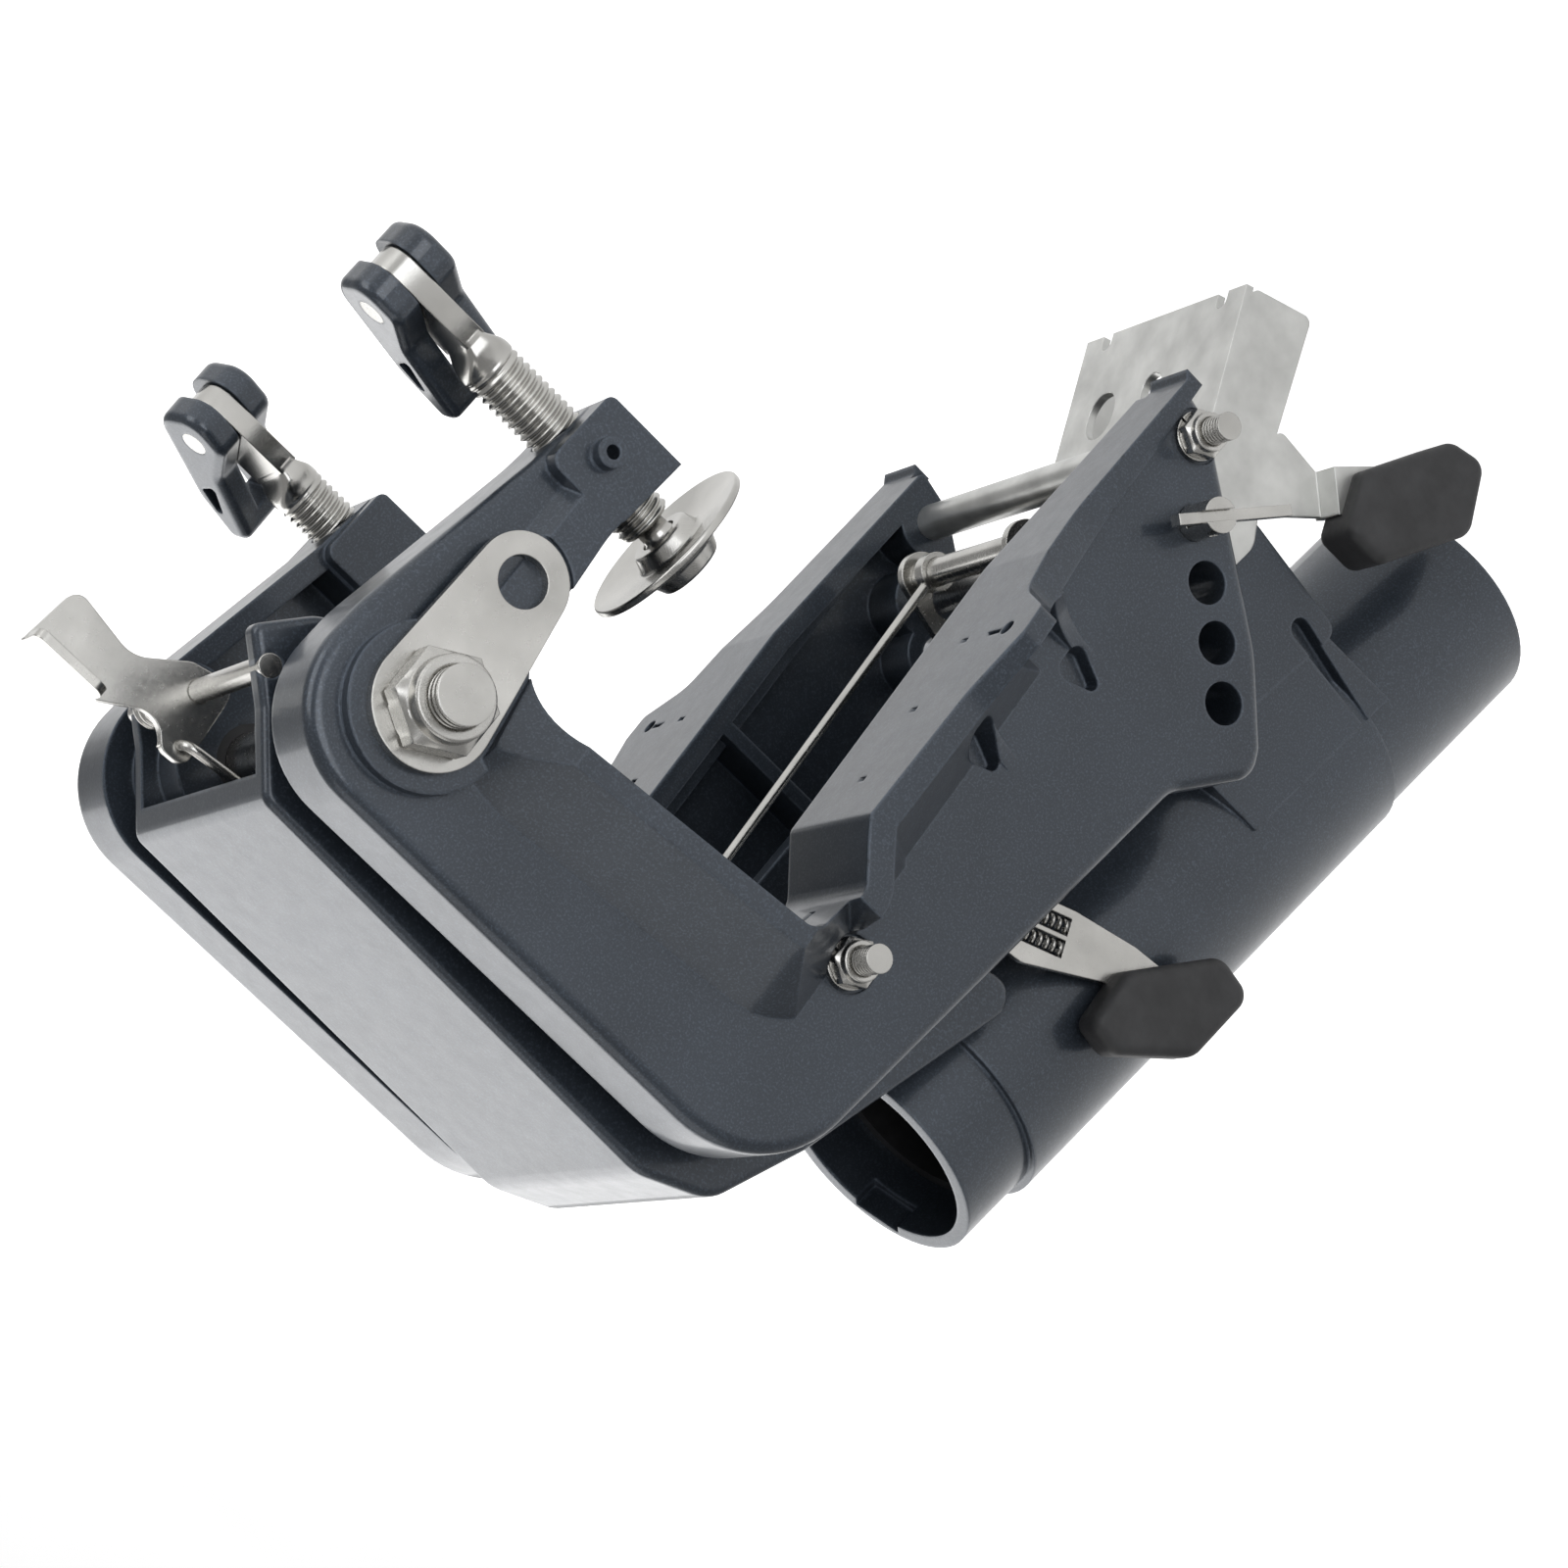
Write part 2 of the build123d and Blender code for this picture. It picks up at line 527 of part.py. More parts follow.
def tie_bolt():
    """Through bolt at the tips of the clamp brackets."""
    seat = CLAMP_OUTER - SPOT_FACE
    return round_bar(TIE_AT, TIE_R, -TIE_END, seat) + hexagon(TIE_AT, TIE_FLATS, seat, seat + 4.2)


def side_bolt():
    """Short bolt through the starboard bracket near its aft corner."""
    return (round_bar(SIDE_BOLT_AT, TIE_R, -TIE_END, -CLAMP_INNER)
            + hexagon(SIDE_BOLT_AT, TIE_FLATS, -CLAMP_INNER, -CLAMP_INNER + 4))


def tie_nuts():
    """Nuts on the starboard ends of the tip bolt and the side bolt."""
    seat = -(CLAMP_OUTER - SPOT_FACE + SPLIT_WASHER)
    return [hexagon(at, TIE_FLATS, seat - 5, seat) - round_bar(at, TIE_R, -100, 0)
            for at in (TIE_AT, SIDE_BOLT_AT)]


def spring_washers():
    """Split washers under those nuts."""
    seat = -(CLAMP_OUTER - SPOT_FACE)
    rings = []
    for at in (TIE_AT, SIDE_BOLT_AT):
        ring = round_bar(at, 5.4, seat - SPLIT_WASHER, seat) - round_bar(at, TIE_R + RUN, -100, 0)
        rings.append(ring - slab(Pos(at[0] + 4.5, at[1]) * Rectangle(4, 0.6), seat - 2, seat + 1))
    return rings


def tip_spacer():
    """Spacer tube that keeps the two tips apart."""
    tube = round_bar(TIE_AT, SPACER_R, -CLAMP_INNER, CLAMP_INNER)
    return tube - round_bar(TIE_AT, TIE_R + RUN, -60, 60)


def trim_pin():
    """Pin across the brackets that the swivel bracket leans on, slotted for its toggle."""
    pin = round_bar(TRIM_AT[0], TRIM_PIN_R, -73.0, CLAMP_OUTER + 5)
    slot = toggle_frame() * Box(30, 20, TOGGLE + 2 * RUN)
    keep = round_bar(TRIM_AT[0], 10, TOGGLE_Y + 4.6, 80)
    hole = toggle_frame() * Cylinder(TOGGLE_PIN_R, 20)
    return pin - (slot - keep) - hole


def toggle_frame():
    """Frame of the toggle bar: X along the bar, Z along its rivet."""
    lean = radians(TOGGLE_TURN)
    return Plane(origin=(TRIM_AT[0][0], TOGGLE_Y, TRIM_AT[0][1]), x_dir=(cos(lean), 0, sin(lean)),
                 z_dir=(sin(lean), 0, -cos(lean)))


def trim_toggle():
    """Toggle bar that keeps the trim pin from sliding out."""
    bar = Pos(5, 0, 0) * Box(29, 3.2, TOGGLE)
    bar = bar - Cylinder(TOGGLE_PIN_R + RUN, 20)
    return toggle_frame() * bar


def toggle_rivet():
    """Cross rivet of the toggle bar, held in the trim pin."""
    return toggle_frame() * Cylinder(TOGGLE_PIN_R, 2 * TRIM_PIN_R - 1.4)


def lock_hook():
    """Stamped hook: two ears with claws for the trim pin, joined by a base plate."""
    x, z = HOOK_AT
    ear = hull_of(disc(HOOK_AT, 6), disc(HOOK_BAR_AT, 5.6), disc((x - 3, z + 6), 2.5),
                  disc((x + 10, z + 6), 2.5))
    reach = hypot(TRIM_AT[0][0] - x, TRIM_AT[0][1] - z)
    claw = TRIM_PIN_R + 0.85
    band = disc(HOOK_AT, reach + claw) - disc(HOOK_AT, reach - claw)
    wedge = Pos(x, z) * Polygon((0, 0), (40, -2), (40, -60), (-5, -60), align=None)
    notch = (band & wedge) + disc(beside(HOOK_AT, reach, 0, -3), claw)
    ears = slab(ear - notch, HOOK_Y - EAR / 2, HOOK_Y + EAR / 2)
    ears = ears + ears.mirror(Plane.XZ)
    base = slab(Pos(x + 3.5, z + 7.5) * Rectangle(13, EAR), -HOOK_Y, HOOK_Y)
    hook = ears + base
    hook = hook - round_bar(HOOK_AT, PIN_R + RUN, -60, 60)
    return hook - round_bar(HOOK_BAR_AT, HOOK_BAR_R, -60, 60)


def hook_bar():
    """Bar between the claws of the hook."""
    return round_bar(HOOK_BAR_AT, HOOK_BAR_R, -HOOK_Y - EAR / 2 - 1, HOOK_Y + EAR / 2 + 1)


def cross_pin(at, reach, radius=PIN_R):
    """Plain pin along Y, as long on either side of the middle."""
    return round_bar(at, radius, -reach, reach)


def coil(at, radius, thick, y0, y1, turns):
    """Close-wound torsion spring round a pin along Y."""
    pitch = (y1 - y0) / turns
    path = Helix(pitch, y1 - y0, radius)
    ring = sweep(Plane(origin=path @ 0, z_dir=path % 0) * Circle(thick), path=path)
    return Pos(at[0], y0, at[1]) * Rot(-90, 0, 0) * ring


def link_rod():
    """Wire from the hook bar up to the bell crank, with a bent end at each."""
    foot = (HOOK_BAR_AT[0], WIRE_Y, HOOK_BAR_AT[1])
    head = (CRANK_AT[0] + HOOK_ARM, WIRE_Y, CRANK_AT[1])
    rod = wire([foot, head, (head[0], WIRE_Y - 8, head[2])], [2.5], WIRE_R)
    eye = round_bar(HOOK_BAR_AT, HOOK_BAR_R + 1.3, WIRE_Y - 1.6, WIRE_Y + 1.6)
    return rod + eye - round_bar(HOOK_BAR_AT, HOOK_BAR_R + RUN, WIRE_Y - 5, WIRE_Y + 5)


def arm_end(at):
    """End of the short arm on the lever and on the bell crank, for the wire between them."""
    return beside(at, 0, LEVER_ARM, 20)


def bell_crank():
    """Bell crank under the aft corner: turns the pull of the lever wire down to the hook."""
    front = (CRANK_AT[0] + HOOK_ARM, CRANK_AT[1])
    hub_face = disc(CRANK_AT, 5)
    arms = hull_of(hub_face, disc(front, 3.6)) + hull_of(hub_face, disc(arm_end(CRANK_AT), 3.0))
    plate = slab(arms, WIRE_Y - 7.5, WIRE_Y - 5)
    hub = round_bar(CRANK_AT, 4.6, WIRE_Y - 14, WIRE_Y - 3)
    crank = plate + hub - round_bar(CRANK_AT, PIN_R + RUN, -60, 60)
    crank = crank - round_bar(front, WIRE_R + SLACK, -60, 60)
    return crank - round_bar(arm_end(CRANK_AT), WIRE_R + SLACK, -60, 60)


def lever_wire():
    """Wire from the tilt lever back to the bell crank."""
    start = arm_end(LEVER_AT)
    end = arm_end(CRANK_AT)
    runs = [(start[0], LEVER_Y + 5, start[1]), (start[0], LEVER_Y - 3, start[1]),
            (end[0], LEVER_Y - 3, end[1]), (end[0], WIRE_Y - 4, end[1])]
    return wire(runs, [2.5, 2.5], WIRE_R)


def tilt_lever():
    """Folded strip that the hand pushes to set or free the tilt lock."""
    x, z = LEVER_AT
    tip = arm_end(LEVER_AT)
    face = outline((x - 5, z - 6, 3), (x + 5, z - 3.5, 4), (x + 15, z + 4.5, 8), (x + 32, z + 1.7, 3),
                   (x + 33.7, z + 17.2, 0.4), (x + 15, z + 16.5, 2), (x + 2, z + 8, 6),
                   (tip[0] + 3, tip[1] + 3.4, 2.5), (tip[0] - 3.4, tip[1] + 3, 2.5), (x - 6, z - 1, 3))
    blade = slab(face, LEVER_Y, LEVER_Y + EAR)
    fold = Plane.XY.offset(z + 15.2) * Pos(x + 24.5, LEVER_Y - 2.5) * RectangleRounded(18, 9, 2.4)
    lever = blade + extrude(fold, amount=EAR)
    lever = lever - round_bar(LEVER_AT, PIN_R + RUN, -60, 60)
    return lever - round_bar(tip, WIRE_R + RUN, -60, 60)


def support_tongue():
    """Tongue of the tilt support inside its grip."""
    x, z = SUPPORT_AT
    face = outline((x - 17.4, z - 23.7, 0), (x - 34, z - 40, 3), (x - 26.5, z - 48, 3),
                   (x - 9.8, z - 31.3, 0))
    return slab(face, -GRIP_MIDDLE - EAR / 2, -GRIP_MIDDLE + EAR / 2)


def rounded_block(face, y0, y1, radius):
    """An outline made into a block along Y, rounded on its two broad faces."""
    block = slab(face, y0, y1)
    broad = block.faces().sort_by(Axis.Y)
    return fillet(broad[0].edges() + broad[-1].edges(), radius)


def support_grip():
    """Moulded rubber grip on the tilt support."""
    x, z = SUPPORT_AT
    face = outline((x - 19.7, z - 19.1, 3), (x - 14.6, z - 33.7, 3), (x - 27.8, z - 56, 5),
                   (x - 37.5, z - 58.5, 4), (x - 44.5, z - 42.6, 5), (x - 30.5, z - 19.4, 4))
    block = rounded_block(face, -GRIP_MIDDLE - GRIP_HALF, -GRIP_MIDDLE + GRIP_HALF, 2.4)
    return block - tilt_support()


def shallow_outline():
    """Side view of the shallow-drive lever."""
    return outline((-126, -63, 5), (-124, -74, 5), (-136, -79, 5), (-147, -83, 2), (-163, -87, 1),
                   (-172, -88, 2), (-172, -74, 2), (-162, -76, 1), (-143.5, -65.5, 4))


def lever_window():
    """Frame of the window in the shallow-drive lever: origin in its middle, X along the lever."""
    lean = radians(SHALLOW_LEAN)
    x, z = beside(SHALLOW_AT, -13.5, 0, SHALLOW_LEAN)
    return Plane(origin=(x, -SHALLOW_Y - EAR / 2, z), x_dir=(cos(lean), 0, sin(lean)),
                 z_dir=(0, -1, 0))


def shallow_lever():
    """Stamped lever for the shallow-drive angle, with a window for its springs."""
    plate = slab(shallow_outline(), -SHALLOW_Y - EAR, -SHALLOW_Y)
    window = lever_window() * Box(WINDOW[0], WINDOW[1], 3 * EAR)
    tab = lever_window() * Box(WINDOW[0], 1.0, EAR)
    return plate - (window - tab) - round_bar(SHALLOW_AT, PIN_R + RUN, -60, 0)


def window_springs():
    """Two small springs that stand side by side in the lever's window."""
    thick = 0.4
    reach = WINDOW[0] - 2 * thick
    radius = (WINDOW[1] - 1.0) / 4 - 2 * thick
    path = Helix(reach / 7, reach, radius)
    spring = sweep(Plane(origin=path @ 0, z_dir=path % 0) * Circle(thick), path=path)
    aside = (WINDOW[1] + 1.0) / 4
    laid = lever_window() * Pos(-reach / 2, 0, thick) * Rot(0, 90, 0)
    return [laid * Pos(0, side * aside, 0) * spring for side in (-1, 1)]


def shallow_grip():
    """Moulded rubber grip on the shallow-drive lever."""
    face = outline((-162.3, -64.5, 3), (-162.3, -79, 3), (-179, -98, 5), (-190, -96, 4), (-187, -76, 6),
                   (-171, -63, 4))
    block = rounded_block(face, -SHALLOW_Y - 8, -SHALLOW_Y + 1, 2.4)
    return block - shallow_lever()


def support_plate():
    """Cross plate of the tilt support, with its two holes and notched corners."""
    x, z = SUPPORT_AT
    root = (x + 16.4, z - 22.5)
    fall = (SUPPORT_FOOT[0] - root[0], SUPPORT_FOOT[1] - root[1])
    run = hypot(*fall)
    along = Plane(origin=(root[0], 0, root[1]), x_dir=(fall[0], 0, fall[1]),
                  z_dir=(-fall[1], 0, fall[0]))
    width = 2 * (SUPPORT_Y + EAR)
    sheet = Pos(run / 2, 0) * Rectangle(run, width)
    for side in (-1, 1):
        sheet = sheet - Pos(run, side * (width / 2 - 9)) * SlotOverall(8, 4)
    sheet = sheet - Pos(9.8, 17) * SlotOverall(12, 10.8) - Pos(12.8, -2.5) * Circle(4)
    return extrude(along * sheet, amount=EAR)


def tilt_support():
    """Stamped U plate that props the tilted engine, with an ear for its grip."""
    x, z = SUPPORT_AT
    arm = outline((x - 6, z + 7, 6), (x + 7, z + 6, 6), (x + 17.4, z - 22, 10), (*SUPPORT_FOOT, 2),
                  (x + 12.5, z - 58.2, 2), (x - 0.5, z - 20, 5), (x - 8, z - 6, 6))
    arms = slab(arm, SUPPORT_Y, SUPPORT_Y + EAR)
    arms = arms + arms.mirror(Plane.XZ)
    side = outline((x + 5, z - 14, 2), (x - 4, z - 12, 3), (x - 17, z - 24, 2), (x - 28, z - 35, 1),
                   (x - 24, z - 41, 1), (x - 13, z - 31, 2), (x + 3, z - 32, 2))
    ear = slab(side, -SUPPORT_Y - EAR, -SUPPORT_Y)
    fold = outline((x - 17.4, z - 23.7, 0), (x - 9.8, z - 31.3, 0), (x - 11.2, z - 32.7, 0),
                   (x - 18.8, z - 25.1, 0))
    bend = slab(fold, -GRIP_MIDDLE - EAR / 2, -SUPPORT_Y)
    support = arms + support_plate() + ear + bend + support_tongue()
    return support - round_bar(SUPPORT_AT, PIN_R + RUN, -60, 60)


def main():
    """Make every piece and write each to its own file."""
    os.makedirs("parts", exist_ok=True)
    port = clamp_bracket()
    bush = pivot_bush()
    pieces = {
        "clamp_bracket_port": port,
        "clamp_bracket_starboard": port.mirror(Plane.XZ),
        "tilt_bolt": tilt_bolt(),
        "tilt_nut": tilt_nut(),
        "tilt_washer": tilt_washer(),
        "safety_plate": safety_plate(),
        "pivot_bush_port": bush,
        "pivot_bush_starboard": bush.mirror(Plane.XZ),
        "tip_tie_bolt": tie_bolt(),
        "side_bolt": side_bolt(),
        "tie_nuts": tie_nuts(),
        "spring_washers": spring_washers(),
        "tip_spacer": tip_spacer(),
        "trim_pin": trim_pin(),
        "trim_toggle": trim_toggle(),
        "toggle_rivet": toggle_rivet(),
        "swivel_bracket": swivel_bracket(),
        "upper_steering_bush": steering_bush(BUSH_DROP),
        "lower_steering_bush": steering_bush(TUBE_LENGTH - BUSH_DROP - BUSH_LENGTH),
        "lock_hook": lock_hook(),
        "hook_bar": hook_bar(),
        "hook_hinge_pin": cross_pin(HOOK_AT, 30),
        "hook_spring": coil(HOOK_AT, PIN_R + 1.3, 0.7, -16, -4, 6),
        "link_rod": link_rod(),
        "bell_crank": bell_crank(),
        "crank_pin": cross_pin(CRANK_AT, 31.5),
        "lever_wire": lever_wire(),
        "tilt_lever": tilt_lever(),
        "lever_pin": cross_pin(LEVER_AT, SWIVEL_HALF),
        "lever_spring": coil(LEVER_AT, PIN_R + 1.6, 0.9, 8, 26, 7),
        "tilt_support": tilt_support(),
        "support_grip": support_grip(),
        "support_pins": both_sides(round_bar(SUPPORT_AT, PIN_R, 25.5, SUPPORT_Y + EAR + 1.5)),
        "shallow_lever": shallow_lever(),
        "shallow_grip": shallow_grip(),
        "window_springs": window_springs(),
        "shallow_pin": round_bar(SHALLOW_AT, PIN_R, -SHALLOW_Y - EAR - 1.5, -25.5),
        "shallow_spring": coil(SHALLOW_AT, PIN_R + 1.6, 0.9, -24, -14, 5),
    }
    for side, name in ((1, "port"), (-1, "starboard")):
        place = screw_place(side)
        head = place * Pos(HANDLE_AT[side], 0, 0) * Rot(0, HANDLE_FOLD[side], 0)
        pieces["clamp_screw_" + name] = place * clamp_screw(side)
        pieces["clamp_pad_" + name] = place * Pos(PAD_X - 7.2, 0, 0) * clamp_pad()
        pieces["clamp_handle_" + name] = head * clamp_handle()
        pieces["handle_pin_" + name] = head * handle_pin()
    mouth = tube_place() * Pos(0, 0, BUSH_DROP)
    home = Pos(-mouth.position)
    for name, piece in pieces.items():
        solid = Compound(children=piece) if isinstance(piece, list) else piece
        export_step(home * solid, "parts/" + name + ".step")


if __name__ == "__main__":
    main()
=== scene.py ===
import json
import math

import bmesh
import bpy
import numpy as np
from bpy.props import FloatProperty, FloatVectorProperty
from mathutils import Matrix, Vector


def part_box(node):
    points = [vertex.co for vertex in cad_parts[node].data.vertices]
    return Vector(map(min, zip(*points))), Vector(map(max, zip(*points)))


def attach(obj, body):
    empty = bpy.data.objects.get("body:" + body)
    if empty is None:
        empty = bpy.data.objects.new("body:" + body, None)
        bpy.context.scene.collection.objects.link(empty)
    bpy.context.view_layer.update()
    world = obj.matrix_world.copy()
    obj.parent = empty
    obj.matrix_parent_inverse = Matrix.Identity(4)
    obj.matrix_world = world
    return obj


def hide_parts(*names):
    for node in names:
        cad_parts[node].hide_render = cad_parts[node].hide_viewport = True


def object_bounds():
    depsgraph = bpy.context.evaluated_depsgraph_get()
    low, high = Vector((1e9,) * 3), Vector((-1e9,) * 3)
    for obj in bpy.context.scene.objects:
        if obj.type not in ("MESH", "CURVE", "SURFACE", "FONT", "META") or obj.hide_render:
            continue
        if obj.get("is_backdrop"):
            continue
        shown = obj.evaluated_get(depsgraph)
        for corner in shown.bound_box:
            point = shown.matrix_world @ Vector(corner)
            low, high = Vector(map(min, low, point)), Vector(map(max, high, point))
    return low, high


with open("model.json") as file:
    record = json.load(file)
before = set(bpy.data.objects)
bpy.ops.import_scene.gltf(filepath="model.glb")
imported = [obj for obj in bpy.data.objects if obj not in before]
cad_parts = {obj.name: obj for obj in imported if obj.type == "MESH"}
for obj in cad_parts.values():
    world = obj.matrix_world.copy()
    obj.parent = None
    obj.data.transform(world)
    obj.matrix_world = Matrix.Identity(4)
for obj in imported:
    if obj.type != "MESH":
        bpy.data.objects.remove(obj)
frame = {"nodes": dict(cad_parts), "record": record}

bl_info = {
    "name": "Outboard bracket looks",
    "version": (1, 0, 0),
    "blender": (4, 5, 0),
    "location": "3D View > Sidebar > Bracket",
    "description": "Finishes, screw threads and a soft white studio for an outboard swivel bracket",
    "category": "Object",
}

# Places in the frame's metres that the CAD boxes don't give
SCREW_DROP = -0.06525    # from the tilt axis down to the clamp screws' axes
NUT_FACE = -0.0783       # outer face of the tilt bolt's nut
TIE_FACE = -0.0682       # outer faces of the tie bolts' nuts

# Travel in one turn of the threads on the tilt bolt and on the tie bolts
BOLT_PITCH = 0.00175
TIE_PITCH = 0.001

# Turn of each clamp screw about its own axis, in degrees
SCREW_ROLL = {"port": 90.0, "starboard": 80.0}

# Lock nuts: name, replaced node, share of the tilt bolt's nut, bolts
NUTS = (
    ("tilt_lock_nut", "tilt_nut", 1.0, ("tilt_bolt",)),
    ("tie_lock_nuts", "tie_nuts", 0.5, ("tip_tie_bolt", "side_bolt")),
)
NUT_CREASE = math.radians(28.0)

# Soft lights: name, place, width and height, power in watts, colour
LIT_POINT = (0.05, 0.0, -0.05)
LIGHTS = (
    ("back_light", (-0.30, 1.05, 0.45), (1.6, 1.0), 9.5, (1.0, 1.0, 1.0)),
    ("top_light", (-0.35, -0.15, 1.1), (1.0, 1.0), 2.5, (1.0, 0.99, 0.97)),
    ("front_light", (0.35, -1.25, 0.15), (0.8, 0.8), 5.2, (0.95, 0.97, 1.0)),
    ("fore_light", (1.15, -0.25, 0.25), (0.6, 0.9), 4.0, (0.98, 0.99, 1.0)),
    ("under_light", (0.35, -0.6, -0.75), (0.7, 0.7), 2.0, (0.92, 0.96, 1.0)),
)


def middle_of(node):
    """Middle of a CAD node's box."""
    low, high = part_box(node)
    return (Vector(low) + Vector(high)) / 2


def tilt_axis():
    """Point of the tilt axis in the middle plane."""
    place = middle_of("tilt_bolt")
    return Vector((place.x, 0.0, place.z))


class BracketStage(bpy.types.PropertyGroup):
    """Camera, surroundings and floor of the studio."""

    azimuth: FloatProperty(
        name="Azimuth", description="Camera's turn round the bracket, 0 looks along +Y",
        default=math.radians(18.75), unit="ROTATION")
    elevation: FloatProperty(
        name="Elevation", description="Camera's height above the horizon",
        default=math.radians(24.04), unit="ROTATION")
    roll: FloatProperty(
        name="Roll", description="Camera's turn about its own line of sight",
        default=math.radians(-143.26), unit="ROTATION")
    distance: FloatProperty(
        name="Distance", description="From the tilt axis to the camera along its view",
        default=0.88853, unit="LENGTH")
    aside: FloatProperty(
        name="Aside", description="Shift of the view to the right", default=0.09911, unit="LENGTH")
    above: FloatProperty(
        name="Above", description="Shift of the view upwards", default=-0.00695, unit="LENGTH")
    lens: FloatProperty(
        name="Lens", description="Focal length in millimetres on a 36 mm sensor", default=101.096)
    fill: FloatProperty(
        name="Fill", description="Strength of the white surroundings as a light", default=0.35)
    floor_gap: FloatProperty(
        name="Floor gap", description="From the lowest point down to the floor",
        default=0.03, unit="LENGTH")
    floor_light: FloatProperty(
        name="Floor light", description="Glow of the floor as a light", default=0.25)
    floor_white: FloatProperty(
        name="Floor white", description="Glow of the floor as the camera sees it", default=0.72)


class BracketFinish(bpy.types.PropertyGroup):
    """Colours of the finishes and the rounding of painted edges."""

    paint: FloatVectorProperty(
        name="Paint", description="Metallic paint on the castings",
        default=(0.031, 0.039, 0.051), subtype="COLOR", size=3)
    steel: FloatVectorProperty(
        name="Steel", description="Stainless steel of bolts, pins and stampings",
        default=(0.54, 0.53, 0.505), subtype="COLOR", size=3)
    zinc: FloatVectorProperty(
        name="Plate", description="Bright plate of the tilt support",
        default=(0.62, 0.62, 0.60), subtype="COLOR", size=3)
    rubber: FloatVectorProperty(
        name="Rubber", description="Moulded grips",
        default=(0.018, 0.018, 0.019), subtype="COLOR", size=3)
    edge: FloatProperty(
        name="Edge rounding", description="Radius that the paint softens edges by",
        default=0.0011, unit="LENGTH")


class BracketScrew(bpy.types.PropertyGroup):
    """Clamp screw: ball end, thread, flare and tongue."""

    radius: FloatProperty(
        name="Radius", description="Outer radius of the thread", default=0.006, unit="LENGTH")
    depth: FloatProperty(
        name="Depth", description="Depth of the thread", default=0.00085, unit="LENGTH")
    pitch: FloatProperty(
        name="Pitch", description="Travel in one turn", default=0.00175, unit="LENGTH")
    ball: FloatProperty(
        name="Ball", description="Radius of the ball end", default=0.0044, unit="LENGTH")
    neck: FloatProperty(
        name="Neck", description="Radius behind the ball", default=0.0032, unit="LENGTH")
    shoulder: FloatProperty(
        name="Shoulder", description="From the ball's middle to the thread", default=0.006, unit="LENGTH")
    flare: FloatProperty(
        name="Flare", description="Length over which the end is pressed flat", default=0.007, unit="LENGTH")
    tail: FloatProperty(
        name="Tail", description="From the end of the flare to the handle's pin", default=0.0165,
        unit="LENGTH")
    overlap: FloatProperty(
        name="Overlap", description="How far the tongue reaches into the flare", default=0.0011,
        unit="LENGTH")
    tongue: FloatProperty(
        name="Tongue", description="Thickness of the flattened end", default=0.005, unit="LENGTH")
    width: FloatProperty(
        name="Width", description="Half the width of the flattened end", default=0.0063, unit="LENGTH")
    corner: FloatProperty(
        name="Corner", description="Radius of the tongue's corners", default=0.005, unit="LENGTH")
    nose: FloatProperty(
        name="Nose", description="From the handle's pin to the end of the tongue", default=0.0064,
        unit="LENGTH")
    hole: FloatProperty(
        name="Hole", description="Radius of the pin's hole", default=0.00305, unit="LENGTH")


class BracketNut(bpy.types.PropertyGroup):
    """Lock nut of the tilt bolt; the tie bolts' nuts have half its size."""

    bore: FloatProperty(
        name="Bore", description="Radius of the bolt in it", default=0.006, unit="LENGTH")
    flats: FloatProperty(
        name="Flats", description="Width over its flats", default=0.019, unit="LENGTH")
    collar: FloatProperty(
        name="Collar", description="Radius of the locking collar", default=0.0086, unit="LENGTH")
    height: FloatProperty(
        name="Height", description="Height with the collar", default=0.010, unit="LENGTH")


def new_material(name):
    """A new node material, its tree and its main shader."""
    material = bpy.data.materials.new(name)
    material.use_nodes = True
    tree = material.node_tree
    shader = tree.nodes["Principled BSDF"]
    return material, tree, shader


def add(tree, kind, **values):
    """A new node with its sockets and attributes set by name."""
    node = tree.nodes.new(kind)
    for name, value in values.items():
        if name in node.inputs:
            node.inputs[name].default_value = value
        else:
            setattr(node, name, value)
    return node


def noise_at(tree, scale, detail=3.0, stretch=(1.0, 1.0, 1.0)):
    """Noise in object space, stretched along the axes."""
    place = tree.nodes.new("ShaderNodeTexCoord")
    mapping = tree.nodes.new("ShaderNodeMapping")
    mapping.inputs["Scale"].default_value = stretch
    noise = tree.nodes.new("ShaderNodeTexNoise")
    noise.inputs["Scale"].default_value = scale
    noise.inputs["Detail"].default_value = detail
    tree.links.new(place.outputs["Object"], mapping.inputs["Vector"])
    tree.links.new(mapping.outputs["Vector"], noise.inputs["Vector"])
    return noise.outputs["Fac"]


def ramp(tree, factor, stops):
    """A colour ramp over a factor, given as (place, colour) stops."""
    node = tree.nodes.new("ShaderNodeValToRGB")
    elements = node.color_ramp.elements
    while len(elements) < len(stops):
        elements.new(0.5)
    for element, (place, colour) in zip(elements, stops):
        element.position = place
        element.color = (*colour, 1.0)
    tree.links.new(factor, node.inputs["Fac"])
    return node.outputs["Color"]


def spread(tree, factor, low, high):
    """A factor mapped to the range from low to high."""
    node = tree.nodes.new("ShaderNodeMapRange")
    node.inputs["To Min"].default_value = low
    node.inputs["To Max"].default_value = high
    tree.links.new(factor, node.inputs["Value"])
    return node.outputs["Result"]


def math_node(tree, operation, first, second=0.0):
    """The result of a sum on two values, either of them a socket."""
    node = add(tree, "ShaderNodeMath", operation=operation)
    for socket, value in zip(node.inputs, (first, second)):
        if isinstance(value, (int, float)):
            socket.default_value = value
        else:
            tree.links.new(value, socket)
    return node.outputs[0]


